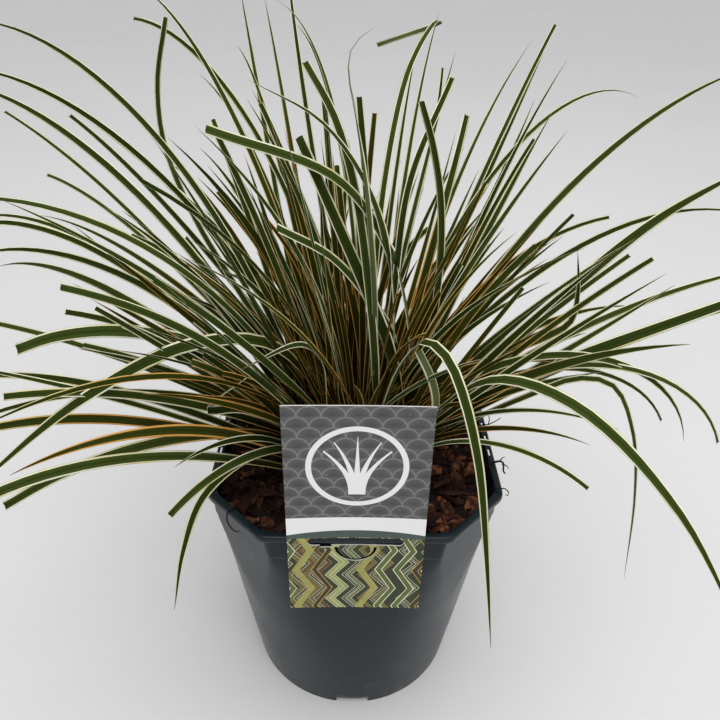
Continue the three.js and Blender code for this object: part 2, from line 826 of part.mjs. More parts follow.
function buildCard() {
  const corners = [];
  const triangles = [];
  for (let strip = 0; strip <= CARD.strips; strip += 1) {
    const x = CARD.width * (strip / CARD.strips - 0.5);
    const back = cardBack(x);
    const front = back - CARD.thickness;
    corners.push(
      new THREE.Vector3(x, front, CARD.bottom),
      new THREE.Vector3(x, back, CARD.bottom),
      new THREE.Vector3(x, back, CARD.top),
      new THREE.Vector3(x, front, CARD.top),
    );
  }
  triangles.push(0, 3, 2, 0, 2, 1);
  for (let strip = 0; strip < CARD.strips; strip += 1) {
    for (let corner = 0; corner < 4; corner += 1) {
      const here = strip * 4 + corner;
      const next = strip * 4 + (corner + 1) % 4;
      triangles.push(here, next, next + 4, here, next + 4, here + 4);
    }
  }
  const end = CARD.strips * 4;
  triangles.push(end, end + 1, end + 2, end, end + 2, end + 3);
  const card = toSolid(indexed(corners, triangles));

  const slit = new THREE.Shape();
  slit.moveTo(-CARD.slitHalfWidth, LIP_BOTTOM - CARD.slitClearance);
  slit.lineTo(CARD.slitHalfWidth, LIP_BOTTOM - CARD.slitClearance);
  slit.lineTo(CARD.slitHalfWidth, POT.rimTop + CARD.slitClearance);
  slit.lineTo(-CARD.slitHalfWidth, POT.rimTop + CARD.slitClearance);

  const { halfWidth, drop, cut, below } = TONGUE;
  const top = LIP_BOTTOM - CARD.slitClearance - below;
  const tongue = new THREE.Shape();
  tongue.absellipse(0, top, halfWidth, drop, Math.PI, Math.PI * 2, false);
  tongue.absellipse(0, top, halfWidth - cut, drop - cut, Math.PI * 2, Math.PI, true);

  const cuts = [slit, tongue].map((shape) => toSolid(throughCard(shape)));
  return toGeometry(card.subtract(wasm.Manifold.union(cuts)));
}

// Extrudes an outline drawn in X and Z right through the card.
function throughCard(shape) {
  const geometry = new THREE.ExtrudeGeometry(shape, {
    depth: CARD.cutDepth,
    bevelEnabled: false,
    curveSegments: TONGUE.segments,
  });
  geometry.rotateX(Math.PI / 2);
  geometry.translate(0, -POT.rimHalfAcross + CARD.cutDepth / 2, 0);
  return joinedCorners(geometry);
}

function joinedCorners(geometry) {
  const position = geometry.getAttribute('position');
  const points = [];
  const known = new Map();
  const triangles = [];
  for (let index = 0; index < position.count; index += 1) {
    const point = new THREE.Vector3().fromBufferAttribute(position, index);
    const key = point.toArray().map((value) => value.toFixed(WELD_DIGITS)).join();
    if (!known.has(key)) {
      known.set(key, points.length);
      points.push(point);
    }
    triangles.push(known.get(key));
  }
  return indexed(points, triangles);
}

// ---------------------------------------------------------------- assembly
function piece(name, geometry, color, roughness, metalness = 0) {
  const material = new THREE.MeshStandardMaterial({ color, roughness, metalness });
  const mesh = new THREE.Mesh(geometry, material);
  mesh.name = name;
  return mesh;
}

const sedge = new THREE.Group();
sedge.add(
  piece('nursery_pot', buildPot(), 0x393e42, 0.45),
  piece('growing_mix', buildMix(), 0x4a2c1c, 0.95),
  piece('sedge_tuft', buildTuft(), 0x4f6335, 0.6),
  piece('label_card', buildCard(), 0x6d6f70, 0.35),
);

export default sedge;
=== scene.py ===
import random
from math import asin, cos, degrees, pi, radians, sin

import bpy
import numpy as np
from mathutils import Matrix, Vector


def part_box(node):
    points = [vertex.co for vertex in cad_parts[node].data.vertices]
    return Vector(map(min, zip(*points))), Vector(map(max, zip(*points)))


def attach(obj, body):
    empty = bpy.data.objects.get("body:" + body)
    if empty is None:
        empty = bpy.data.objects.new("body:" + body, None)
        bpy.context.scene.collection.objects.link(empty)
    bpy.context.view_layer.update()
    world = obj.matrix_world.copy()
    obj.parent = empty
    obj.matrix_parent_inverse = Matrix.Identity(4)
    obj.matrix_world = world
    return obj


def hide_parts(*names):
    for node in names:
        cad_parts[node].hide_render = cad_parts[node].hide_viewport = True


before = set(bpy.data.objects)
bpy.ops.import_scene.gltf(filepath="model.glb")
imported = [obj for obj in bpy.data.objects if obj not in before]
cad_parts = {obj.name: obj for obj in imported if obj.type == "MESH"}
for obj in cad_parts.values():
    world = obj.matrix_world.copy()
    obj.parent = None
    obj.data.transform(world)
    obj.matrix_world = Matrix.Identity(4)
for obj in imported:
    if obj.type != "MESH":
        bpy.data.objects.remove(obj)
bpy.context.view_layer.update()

# ---------------------------------------------------------------- nursery pot
# An injection-moulded container of dark slate-grey polypropylene. Its lip is an octagon with four
# long sides and four short corner faces; lower down each flat face dies out into a plain cone. The
# skirt has four notches at the foot, and the floor inside it has drain holes and a centre foot.
MM = 0.001  # every size below is in millimetres

pot_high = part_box("nursery_pot")[1]
RIM_TOP = pot_high.z / MM
RIM_HALF_ACROSS = pot_high.x / MM
RIM_CHAMFER_ACROSS = RIM_HALF_ACROSS + 12.8
RIM_ROUNDING = 6
LIP_HEIGHT = 5
LIP_BOTTOM = RIM_TOP - LIP_HEIGHT
LIP_OVERHANG = 3
LIP_ROUND = 1.1
COLLAR_BOTTOM = 175.5
COLLAR_PROUD = 0.7
COLLAR_ROUNDING = 2
WALL = 1.8
BASE_RADIUS = 78
CONE_SLOPE = 0.148
FLARE_FROM = 118  # the cone flares a little more above this height
FLARE_SLOPE = 0.0275
LONG_FACE_AT_FOOT = 84.73
LONG_FACE_SLOPE = 0.037
CORNER_FACE_AT_FOOT = 80.98
CORNER_FACE_SLOPE = 0.12
FLOOR_TOP = 8
FLOOR_THICKNESS = 2.5
FLOOR_SEAT = 0.3  # how far its edge runs into the wall
FLOOR_SIDES = 96
FOOT_RADIUS = 22
FOOT_ROUNDING = 1.2
CORNER_SHARPNESS = 14.0
FACE_SHARPNESS = (0.35, 3.0)  # where a long face meets the rest, low down and at the collar
FACE_EASING = 24
LIP_SHARPNESS = 0.8
NOTCHES = 4
NOTCH_WIDTH = 24
NOTCH_HEIGHT = 4.5
DRAINS = 8
DRAIN_RADIUS = 5
DRAIN_SIDES = 24
DRAIN_RING = 50
DRAIN_CUT = (2, 12)  # from under the floor to above it
SLOT_PLACES = (-15, 0, 15)  # along the left and the right side of the lip, for a carrying clip
SLOT_ACROSS = (91.6, 93.0)
SLOT_LENGTH = 8
GROOVE_ACROSS = (92.2, 94.2)  # hollows out the lip under the slots
GROOVE_LENGTH = 52
LIP_SKIN = 1.5
PLASTIC = (0.0026, 0.0086, 0.0122, 1)
PLASTIC_SCUFFED = (0.011, 0.017, 0.021, 1)
PLASTIC_DUST = (0.30, 0.27, 0.22, 1)
SOIL_SPECK = (0.035, 0.018, 0.010, 1)
# How the wall's skin is divided, in degrees round it and in millimetres up it.
ANGLE_STEP = 1.5
FACET_EDGES = (26, 64.5)
FACET_STEP = 0.5
NOTCH_EDGE = 0.1
SKIRT_EDGE = 0.5
OUTER_ROWS = (6, 4)  # the first row and the step to the next
INNER_ROWS = (168, 16)
# Rows over the collar's lower edge: height above it, and share of the collar's step.
COLLAR_STEP_ROWS = ((-0.6, 0), (-0.1, 0.8), (0.3, 1))
# Rows up the collar: height above its lower edge, and share of the way to its shape under the lip.
COLLAR_FACE_ROWS = ((0.9, 0.04), (14.6, 0.91), (15.2, 0.95))
LIP_FILLET = 0.1
# Rows over the lip's inner edge: down from the top, and out from the inner wall.
INNER_EDGE_ROWS = ((0, 0.7), (0.2, 0.2), (0.8, 0))
NOISE_SPAN = (0.3, 0.7)  # between these lies most of what a noise gives


def between(low, high, share):
    return low + (high - low) * share


def soft_minimum(distances, sharpness):
    """The smallest of several distances, rounded off where two of them are nearly equal."""
    least = np.minimum.reduce(distances)
    total = sum(np.exp(-sharpness * (value - least)) for value in distances)
    return least - np.log(total) / sharpness


def outline_radius(angle, level):
    """How far from the axis the octagon of a level lies, at each angle; softer towards the foot."""
    main, chamfer, around = level
    risen = np.clip((main - LONG_FACE_AT_FOOT) / (LONG_FACE_SLOPE * COLLAR_BOTTOM), 0, 1)
    face_sharpness = FACE_SHARPNESS[0] + (FACE_SHARPNESS[1] - FACE_SHARPNESS[0]) * risen ** FACE_EASING
    if main > RIM_HALF_ACROSS - LIP_OVERHANG / 2:
        face_sharpness = LIP_SHARPNESS
    quarter = pi / 2
    from_main = angle - np.floor(angle / quarter + 0.5) * quarter
    from_corner = angle - (np.floor(angle / quarter) + 0.5) * quarter
    corner = soft_minimum([
        chamfer / np.cos(from_corner),
        np.full_like(angle, float(around)),
    ], CORNER_SHARPNESS)
    return soft_minimum([main / np.cos(from_main), corner], face_sharpness)


def wall_level(height):
    """How far out the long faces, the corner faces and the cone are at a height."""
    return np.array([
        LONG_FACE_AT_FOOT + LONG_FACE_SLOPE * height,
        CORNER_FACE_AT_FOOT + CORNER_FACE_SLOPE * height,
        BASE_RADIUS + CONE_SLOPE * height + FLARE_SLOPE * max(0, height - FLARE_FROM),
    ])


def lip_level(set_back):
    """The same at the lip, so far inside its edge."""
    around = RIM_CHAMFER_ACROSS + RIM_ROUNDING
    return np.array([RIM_HALF_ACROSS, RIM_CHAMFER_ACROSS, around]) - set_back


COLLAR_LEVEL = wall_level(COLLAR_BOTTOM) + np.array([COLLAR_PROUD, 0, COLLAR_PROUD + COLLAR_ROUNDING])


def grid_faces(rows, columns, closed=True):
    """Quads between neighbouring rows of points; closed rows join their last column to the first."""
    faces = []
    for row in range(rows - 1):
        for column in range(columns if closed else columns - 1):
            along = (column + 1) % columns
            here = row * columns
            faces.append((here + column, here + along, here + columns + along, here + columns + column))
    return faces


def tube_faces(rows, columns):
    """The quads of a tube, with a cap over each of its ends."""
    last = (rows - 1) * columns
    caps = [tuple(reversed(range(columns))), tuple(range(last, last + columns))]
    return grid_faces(rows, columns) + caps


def merged(bodies):
    """The points and faces of several bodies, each given by its own, as one body's."""
    faces = []
    count = 0
    for points, body_faces in bodies:
        faces += [tuple(corner + count for corner in face) for face in body_faces]
        count += len(points)
    return np.concatenate([points for points, _ in bodies]), faces


def mesh_of(name, points, faces, smooth=True):
    """A mesh from points in millimetres."""
    mesh = bpy.data.meshes.new(name)
    mesh.from_pydata((np.asarray(points) * MM).tolist(), [], faces)
    mesh.validate()
    mesh.polygons.foreach_set("use_smooth", [smooth] * len(mesh.polygons))
    return mesh


def show(mesh, finishes):
    """Puts a mesh in the scene with its finishes."""
    made = bpy.data.objects.new(mesh.name, mesh)
    bpy.context.collection.objects.link(made)
    for finish in finishes:
        mesh.materials.append(finish)
    return made


def solid(name, points, faces, finishes=()):
    """Puts a flat-shaded body in the scene."""
    return show(mesh_of(name, points, faces, smooth=False), finishes)


def new_finish(name, roughness, specular=0.5):
    """A finish with its shader; values that are the same all over are set on the shader itself."""
    finish = bpy.data.materials.new(name)
    finish.use_nodes = True
    shader = finish.node_tree.nodes["Principled BSDF"]
    shader.inputs["Roughness"].default_value = roughness
    shader.inputs["Specular IOR Level"].default_value = specular
    return finish, finish.node_tree, shader


def feed(node, key, value):
    """Links a field to an input of a node, or sets the input where the value is the same all over."""
    if isinstance(value, Field):
        value.tree.links.new(value.socket, node.inputs[key])
    else:
        node.inputs[key].default_value = value


def wire(tree, kind, inputs, output=0, **settings):
    """Adds a node, feeds its inputs and gives back the wanted output."""
    made = tree.nodes.new("ShaderNode" + kind)
    for key, value in settings.items():
        setattr(made, key, value)
    for key, value in inputs.items():
        feed(made, key, value)
    return Field(made.outputs[output])


class Field:
    """A value that varies over a surface. Arithmetic on it adds the nodes that work it out."""

    def __init__(self, socket):
        self.socket = socket
        self.tree = socket.id_data

    def maths(self, operation, *others):
        return wire(self.tree, "Math", dict(enumerate((self, *others))), operation=operation)

    def __add__(self, other):
        return self.maths("ADD", other)

    def __sub__(self, other):
        return self.maths("SUBTRACT", other)

    def __rsub__(self, other):
        return wire(self.tree, "Math", {0: other, 1: self}, operation="SUBTRACT")

    def __mul__(self, other):
        return self.maths("MULTIPLY", other)

    def __truediv__(self, other):
        return self.maths("DIVIDE", other)

    def __mod__(self, other):
        return self.maths("FLOORED_MODULO", other)

    def __pow__(self, other):
        return self.maths("POWER", other)

    def __abs__(self):
        return self.maths("ABSOLUTE")

    def __gt__(self, other):
        return self.maths("GREATER_THAN", other)

    def __lt__(self, other):
        return self.maths("LESS_THAN", other)


def blended(share, first, second):
    """The first colour, turning into the second as share goes from 0 to 1."""
    return wire(share.tree, "Mix", {0: share, 6: first, 7: second}, 2, data_type="RGBA")


def eased(value, low, high):
    """0 below low, 1 above high, and a smooth step between them."""
    inputs = {0: value, 1: low, 2: high}
    return wire(value.tree, "MapRange", inputs, interpolation_type="SMOOTHSTEP")


def faded(value, low, high):
    """1 below low, 0 above high, and a smooth step between them."""
    return 1.0 - eased(value, low, high)


def uneven(cloud, low, high):
    """From low to high, following a noise."""
    return wire(cloud.tree, "MapRange", {0: cloud, 1: NOISE_SPAN[0], 2: NOISE_SPAN[1], 3: low, 4: high})


def noise(place, scale, detail):
    return wire(place.tree, "TexNoise", {"Vector": place, "Scale": scale, "Detail": detail}, "Fac")


def bumped(shader, height, depth, strength, under=None):
    """Raises the surface by height times depth, in metres."""
    inputs = {"Height": height, "Distance": depth, "Strength": strength}
    if under is not None:
        inputs["Normal"] = under
    normal = wire(height.tree, "Bump", inputs)
    feed(shader, "Normal", normal)
    return normal


def plastic_finish():
    """Satin plastic: lightly scuffed, dusty low down, with specks of soil and grit at the foot."""
    finish, tree, shader = new_finish("slate_polypropylene", 0.4, 0.26)
    place = wire(tree, "TexCoord", {}, "Object")
    height = wire(tree, "SeparateXYZ", {0: place}, "Z")
    scuff = eased(noise(place, 55, 6), 0.52, 0.78)
    colour = blended(scuff * 0.45, PLASTIC, PLASTIC_SCUFFED)
    dusty = eased(noise(place, 90, 8), 0.55, 0.8) * faded(height, 0.0, 0.05)
    colour = blended(dusty * 0.35, colour, PLASTIC_DUST)
    crumbs = wire(tree, "TexVoronoi", {"Vector": place, "Scale": 85}, "Distance")
    chosen = eased(noise(place, 24, 2), 0.6, 0.62)
    colour = blended(faded(crumbs, 0.07, 0.11) * chosen, colour, SOIL_SPECK)
    grit = wire(tree, "TexVoronoi", {"Vector": place, "Scale": 260}, "Distance")
    strewn = eased(noise(place, 45, 2), 0.45, 0.6) * faded(height, 0.002, 0.009)
    colour = blended(faded(grit, 0.16, 0.26) * strewn, colour, SOIL_SPECK)
    feed(shader, "Base Color", colour)
    feed(shader, "Roughness", uneven(noise(place, 14, 5), 0.22, 0.36) + dusty * 0.2)
    peel = bumped(shader, noise(place, 900, 2), 0.00006, 0.5)
    bumped(shader, noise(place, 35, 3), 0.0004, 0.35, under=peel)
    return finish


def pot_angles():
    """Even steps round the pot, closer at the facet edges and doubled at the sides of a notch."""
    half = degrees(asin(NOTCH_WIDTH / 2 / BASE_RADIUS))
    sides = np.array([half - NOTCH_EDGE, half + NOTCH_EDGE])
    quarter = np.concatenate([
        np.arange(0, 90, ANGLE_STEP),
        np.arange(*FACET_EDGES, FACET_STEP),
        sides,
        90 - sides,
    ])
    quarter = np.unique(np.round(quarter, 2))
    return np.radians(np.concatenate([quarter + turn for turn in (0, 90, 180, 270)]))


def pot_points(angles):
    """The wall's skin, from the floor's edge down round the skirt, up to the lip and down inside."""
    half_notch = asin(NOTCH_WIDTH / 2 / BASE_RADIUS)
    turn = 2 * pi / NOTCHES
    from_notch = np.abs(angles - np.floor(angles / turn + 0.5) * turn)
    foot = np.where(from_notch < half_notch, float(NOTCH_HEIGHT), 0.0)
    under_floor = FLOOR_TOP - FLOOR_THICKNESS
    inside_lip = lip_level(LIP_OVERHANG) - WALL
    collar_top = lip_level(LIP_OVERHANG)
    collar_top[1] = wall_level(LIP_BOTTOM)[1]
    rows = [
        (under_floor, wall_level(under_floor) - WALL),
        (foot, wall_level(0) - WALL),
        (foot, wall_level(0)),
        (foot + SKIRT_EDGE, wall_level(SKIRT_EDGE)),
    ]
    first, step = OUTER_ROWS
    rows += [(height, wall_level(height)) for height in np.arange(first, COLLAR_BOTTOM - 1, step)]
    for above, share in COLLAR_STEP_ROWS:
        level = wall_level(COLLAR_BOTTOM + min(above, 0))
        rows.append((COLLAR_BOTTOM + above, between(level, COLLAR_LEVEL, share)))
    for above, share in COLLAR_FACE_ROWS:
        rows.append((COLLAR_BOTTOM + above, between(COLLAR_LEVEL, collar_top, share)))
    rows += [
        (LIP_BOTTOM - LIP_FILLET, collar_top + LIP_FILLET),
        (LIP_BOTTOM, lip_level(LIP_ROUND)),
    ]
    for swing in np.array([0.25, 0.6, 1]) * pi / 2:
        rows.append((LIP_BOTTOM + LIP_ROUND * (1 - cos(swing)), lip_level(LIP_ROUND * (1 - sin(swing)))))
    for swing in np.array([0, 0.25, 0.5, 0.75, 1]) * pi / 2:
        rows.append((RIM_TOP - LIP_ROUND * (1 - sin(swing)), lip_level(LIP_ROUND * (1 - cos(swing)))))
    rows += [(RIM_TOP - down, inside_lip + out) for down, out in INNER_EDGE_ROWS]
    rows += [
        (LIP_BOTTOM, between(inside_lip, COLLAR_LEVEL - WALL, 0.3)),
        (COLLAR_BOTTOM, COLLAR_LEVEL - WALL),
        (COLLAR_BOTTOM - 2, wall_level(COLLAR_BOTTOM) - WALL),
    ]
    first, step = INNER_ROWS
    rows += [(height, wall_level(height) - WALL) for height in np.arange(first, FLOOR_TOP, -step)]
    rows.append((FLOOR_TOP, wall_level(FLOOR_TOP) - WALL))
    points = []
    for height, level in rows:
        radius = outline_radius(angles, level)
        z = np.broadcast_to(height, radius.shape)
        points.append(np.stack([radius * np.cos(angles), radius * np.sin(angles), z], axis=1))
    return np.concatenate(points), len(rows)


def cut_out(body, cutter):
    """Takes the cutter's shape out of a body."""
    cut = body.modifiers.new("cut", "BOOLEAN")
    cut.object = cutter
    cut.operation = "DIFFERENCE"
    cut.solver = "EXACT"
    bpy.context.view_layer.objects.active = body
    bpy.ops.object.modifier_apply(modifier=cut.name)
    bpy.data.objects.remove(cutter)


def bar(corners, low, high):
    """An upright bar over the corners of its outline, as points and faces."""
    points = [(x, y, z) for z in (low, high) for x, y in corners]
    return points, tube_faces(2, len(corners))


def lip_cutter(across, places, length, low, high):
    """Bars along the left and the right side of the lip, from low to high."""
    bars = []
    for side in (-1, 1):
        near, far = sorted(side * x for x in across)
        for place in places:
            front, back = place - length / 2, place + length / 2
            corners = [(near, front), (far, front), (far, back), (near, back)]
            bars.append(bar(corners, low, high))
    return solid("lip_cutter", *merged(bars))


def floor_solid(finish):
    """The floor plate with its centre foot, cut by the drain holes."""
    under_floor = FLOOR_TOP - FLOOR_THICKNESS
    edge = float(outline_radius(np.array([0.0]), wall_level(FLOOR_TOP) - WALL)[0]) + FLOOR_SEAT
    profile = [
        (FOOT_RADIUS - FOOT_ROUNDING, 0), (FOOT_RADIUS - FOOT_ROUNDING / 4, FOOT_ROUNDING / 4),
        (FOOT_RADIUS, FOOT_ROUNDING), (FOOT_RADIUS, under_floor), (edge, under_floor),
        (edge, FLOOR_TOP), (1, FLOOR_TOP),
    ]
    around = np.linspace(0, 2 * pi, FLOOR_SIDES, endpoint=False)
    rings = [
        np.stack([r * np.cos(around), r * np.sin(around), np.full_like(around, z)], axis=1)
        for r, z in profile
    ]
    faces = tube_faces(len(rings), len(around))
    plate = solid("pot_floor", np.concatenate(rings), faces, [finish])
    turns = np.linspace(0, 2 * pi, DRAIN_SIDES, endpoint=False)
    holes = []
    for heading in (np.arange(DRAINS) + 0.5) * 2 * pi / DRAINS:
        x = DRAIN_RING * cos(heading) + DRAIN_RADIUS * np.cos(turns)
        y = DRAIN_RING * sin(heading) + DRAIN_RADIUS * np.sin(turns)
        holes.append(bar(list(zip(x, y)), *DRAIN_CUT))
    cut_out(plate, solid("drain_cutter", *merged(holes)))
    return plate


plastic = plastic_finish()
angles = pot_angles()
pot_skin, pot_rows = pot_points(angles)
pot_mesh = mesh_of("nursery_pot_shell", pot_skin, grid_faces(pot_rows, len(angles)))
nursery_pot = show(pot_mesh, [plastic])
skin_bottom = RIM_TOP - LIP_SKIN
cut_out(nursery_pot, lip_cutter(GROOVE_ACROSS, (0,), GROOVE_LENGTH, LIP_BOTTOM - 1, skin_bottom))
cut_out(nursery_pot, lip_cutter(SLOT_ACROSS, SLOT_PLACES, SLOT_LENGTH, skin_bottom - 1, RIM_TOP + 1))
pot_floor = floor_solid(plastic)
bpy.ops.object.select_all(action="DESELECT")
pot_floor.select_set(True)
nursery_pot.select_set(True)
bpy.context.view_layer.objects.active = nursery_pot
bpy.ops.object.join()
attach(nursery_pot, "root")
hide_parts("nursery_pot")

# ---------------------------------------------------------------- growing mix
# Composted bark with peat: dark red-brown chips from crumbs up to about 27 mm, tipped in loose and
# settled a little under the lip, with thin dark root fibres, some of which curl over the lip.
CROWN_LEVEL = 174
WALL_SIDE_LEVEL = 181
MIX_RADIUS = 94
MIX_WAVE = 1.5
MIX_GAP = 0.6
PEAT_RINGS = 34
PEAT_LEVELS = (FLOOR_TOP + 0.3, 40, 84, 130, COLLAR_BOTTOM - 0.6)
PEAT_SEED = 12
LARGE_CHIPS = 60
LARGE_CHIP_SEED = 4177
LARGE_CHIPS_FROM = 42  # from the axis
LARGE_CHIP_RANGES = ((12, 27), (7, 12), (4, 7))  # length, breadth and thickness
LARGE_CHIP_CORNERS = 8
# The loose chips that lie between: (count, range of length, breadth to length, height of the heap).
LOOSE_CHIPS = ((420, (5, 15), 0.5, 3.0), (170, (12, 27), 0.24, 5.0), (900, (2, 6), 0.5, 4.0))
LOOSE_CHIP_SEED = 88
LOOSE_CHIP_REACH = (24, 99)
CHIP_SHAPE_SEED = 5
CHIP_CORNERS = 7
CHIP_LEVELS = ((0.9, -1), (1, -0.2), (0.96, 0.7), (0.84, 1))  # how wide a chip is, and how high up
SHORT_FIBRES = 70
FIBRE_SEED = 23
FIBRE_REACH = (38, 88)
FIBRE_LIFTS = (-1, 3.5, 4, 0)
STRAND_RINGS = 14
STRAND_SIDES = 5
STRAND_ASIDE = (0.3, 0.2, 0.93)
ROUTE_STEPS = 40
DRAW_FACTOR = 1664525
DRAW_STEP = 1013904223
DRAW_RANGE = 2 ** 32
PEAT = (0.006, 0.004, 0.003, 1)
BARK_DARK = (0.0055, 0.003, 0.0022, 1)
BARK_RED = (0.050, 0.015, 0.007, 1)
BARK_TAN = (0.22, 0.085, 0.036, 1)
FIBRE = (0.010, 0.007, 0.006, 1)


def seeded_draws(seed):
    """The draws by which the large chips and the blades are placed, as the solids' are."""
    state = seed
    while True:
        state = (state * DRAW_FACTOR + DRAW_STEP) % DRAW_RANGE
        yield state / DRAW_RANGE


def mix_surface(share, angle):
    """The mix's level at a share of the way to the wall: dished, with long low waves."""
    slope = between(CROWN_LEVEL, WALL_SIDE_LEVEL, share ** 1.5)
    return slope + MIX_WAVE * np.sin(3 * angle + 5 * share) * np.sin(7 * share + 2 * angle)


def mix_limit(angle):
    """How far the mix may reach inside the wall."""
    return outline_radius(angle, COLLAR_LEVEL - WALL - MIX_GAP)


def held_inside(points):
    """Draws in whatever lies beyond the pot's inner wall."""
    angle = np.arctan2(points[:, 1], points[:, 0])
    radius = np.hypot(points[:, 0], points[:, 1])
    shrink = np.minimum(1, mix_limit(angle) / np.maximum(radius, 1))
    return points * np.stack([shrink, shrink, np.ones_like(shrink)], axis=1)


def bark_chip(half, rough):
    """A slab of bark with broken edges, as points and faces."""
    bow = rough.uniform(-0.6, 0.9)
    edge = [1 + rough.uniform(-0.3, 0.12) for _ in range(CHIP_CORNERS)]
    turns = [2 * pi * (n + rough.uniform(0.15, 0.85)) / CHIP_CORNERS for n in range(CHIP_CORNERS)]
    points = []
    for scale, level in CHIP_LEVELS:
        for corner, turn in enumerate(turns):
            across = np.sign(cos(turn)) * abs(cos(turn)) ** 0.6
            up = np.sign(sin(turn)) * abs(sin(turn)) ** 0.6
            reach = scale * edge[corner] * (1 + rough.uniform(-0.04, 0.04))
            x = across * reach
            lift = level * (1 + rough.uniform(-0.12, 0.12)) - bow * x * x
            points.append((half[0] * x, half[1] * up * reach, half[2] * lift))
    points.append((0, 0, -half[2]))
    points.append((0, 0, half[2] * (1 + rough.uniform(-0.1, 0.1))))
    faces = grid_faces(len(CHIP_LEVELS), CHIP_CORNERS)
    bottom, top = len(points) - 2, len(points) - 1
    last = bottom - CHIP_CORNERS
    for corner in range(CHIP_CORNERS):
        along = (corner + 1) % CHIP_CORNERS
        faces.append((bottom, along, corner))
        faces.append((top, last + corner, last + along))
    return np.array(points), faces


def chip_places():
    """Sizes and places of the chips: the large ones, medium ones, slivers and crumbs."""
    draw = seeded_draws(LARGE_CHIP_SEED)
    for _ in range(LARGE_CHIPS):
        angle = next(draw) * 2 * pi
        distance = between(LARGE_CHIPS_FROM, MIX_RADIUS, next(draw) ** 0.5)
        half = [between(low, high, next(draw)) / 2 for low, high in LARGE_CHIP_RANGES]
        for _ in range(LARGE_CHIP_CORNERS):
            next(draw)  # the solids trim each corner by one
        turns = (
            between(-0.45, 0.45, next(draw)),
            between(-0.35, 0.35, next(draw)),
            next(draw) * pi,
        )
        yield angle, distance, half, turns, 0.3 * half[2]
    loose = random.Random(LOOSE_CHIP_SEED)
    for count, length, broad, heap in LOOSE_CHIPS:
        for _ in range(count):
            size = loose.uniform(*length)
            width = size * loose.uniform(0.5, 1) * broad
            half = [size / 2, width, min(width, 1.8) * loose.uniform(0.3, 0.9)]
            turns = (loose.uniform(-0.8, 0.8), loose.uniform(-0.35, 0.35), loose.uniform(0, pi))
            distance = between(*LOOSE_CHIP_REACH, loose.random() ** 0.6)
            yield loose.uniform(0, 2 * pi), distance, half, turns, loose.uniform(-0.5, heap)


def bark_mesh():
    """All the chips as one mesh, with a grain map and a tone for each chip."""
    rough = random.Random(CHIP_SHAPE_SEED)
    chips, grain, tones = [], [], []
    for angle, distance, half, turns, lift in chip_places():
        points, faces = bark_chip(half, rough)
        turned = Matrix.Rotation(turns[2], 3, "Z") @ Matrix.Rotation(turns[1], 3, "Y")
        turned = np.array(turned @ Matrix.Rotation(turns[0], 3, "X"))
        distance = min(distance, float(mix_limit(np.array([angle]))[0]) - 0.5 * half[0])
        level = float(mix_surface(distance / MIX_RADIUS, angle)) + lift
        centre = np.array([distance * cos(angle), distance * sin(angle), level])
        chips.append((held_inside(points @ turned.T + centre), faces))
        grain.append(points[:, :2] / 10 + np.array([rough.uniform(0, 90), rough.uniform(0, 90)]))
        tones += [rough.random()] * len(points)
    mesh = mesh_of("bark_chips", *merged(chips), smooth=False)
    add_map(mesh, "grain", np.concatenate(grain))
    add_values(mesh, "tone", tones)
    return mesh


def add_map(mesh, name, places):
    """A flat map from one place for each vertex."""
    corners = np.empty(len(mesh.loops), dtype=np.int32)
    mesh.loops.foreach_get("vertex_index", corners)
    layer = mesh.uv_layers.new(name=name)
    layer.data.foreach_set("uv", np.asarray(places, dtype=np.float32)[corners].ravel())


def add_values(mesh, name, values):
    """A value for each vertex, which a finish reads by its name."""
    layer = mesh.attributes.new(name, "FLOAT", "POINT")
    layer.data.foreach_set("value", np.asarray(values, dtype=np.float32))


def read_map(tree, name):
    return wire(tree, "UVMap", {}, uv_map=name)


def read_values(tree, name):
    return wire(tree, "Attribute", {}, "Fac", attribute_name=name)


def stretched(place, x, y):
    return wire(place.tree, "Mapping", {"Vector": place, "Scale": (x, y, 1.0)})


def bark_finish():
    """Fibrous bark: a few chips tan, most red-brown, the rest nearly black."""
    finish, tree, shader = new_finish("damp_bark", 0.7, 0.12)
    place = read_map(tree, "grain")
    tone = read_values(tree, "tone")
    lines = noise(stretched(place, 0.8, 5.0), 4, 5)
    patches = noise(place, 2.2, 3)
    colour = blended(eased(lines, 0.3, 0.7), BARK_DARK, BARK_RED)
    colour = blended(eased(tone, 0.78, 1.0) * eased(patches, 0.38, 0.65), colour, BARK_TAN)
    colour = blended(faded(tone, 0.15, 0.8) * 0.88, colour, BARK_DARK)
    feed(shader, "Base Color", colour)
    feed(shader, "Roughness", uneven(patches, 0.5, 0.85))
    bumped(shader, lines, 0.0008, 0.8)
    return finish


def peat_finish():
    finish, tree, shader = new_finish("damp_peat", 0.85, 0.12)
    crumbs = noise(wire(tree, "TexCoord", {}, "Object"), 260, 6)
    feed(shader, "Base Color", blended(eased(crumbs, 0.45, 0.75), PEAT, BARK_RED))
    bumped(shader, crumbs, 0.002, 1.0)
    return finish


def peat_mesh():
    """The filling itself: its sides follow the pot's wall and its top dishes towards the crown."""
    around = pot_angles()
    rings = []
    for height in PEAT_LEVELS:
        radius = outline_radius(around, wall_level(height) - WALL - MIX_GAP)
        rings.append((radius, np.full_like(radius, height)))
    edge = mix_limit(around)
    rough = np.random.RandomState(PEAT_SEED)
    for share in np.linspace(1, 0.04, PEAT_RINGS):
        level = mix_surface(share, around) + rough.uniform(-0.9, 0.9, len(around))
        rings.append((edge * share, level))
    points = np.concatenate([
        np.stack([radius * np.cos(around), radius * np.sin(around), level], axis=1)
        for radius, level in rings
    ])
    return mesh_of("peat_filling", points, tube_faces(len(rings), len(around)))


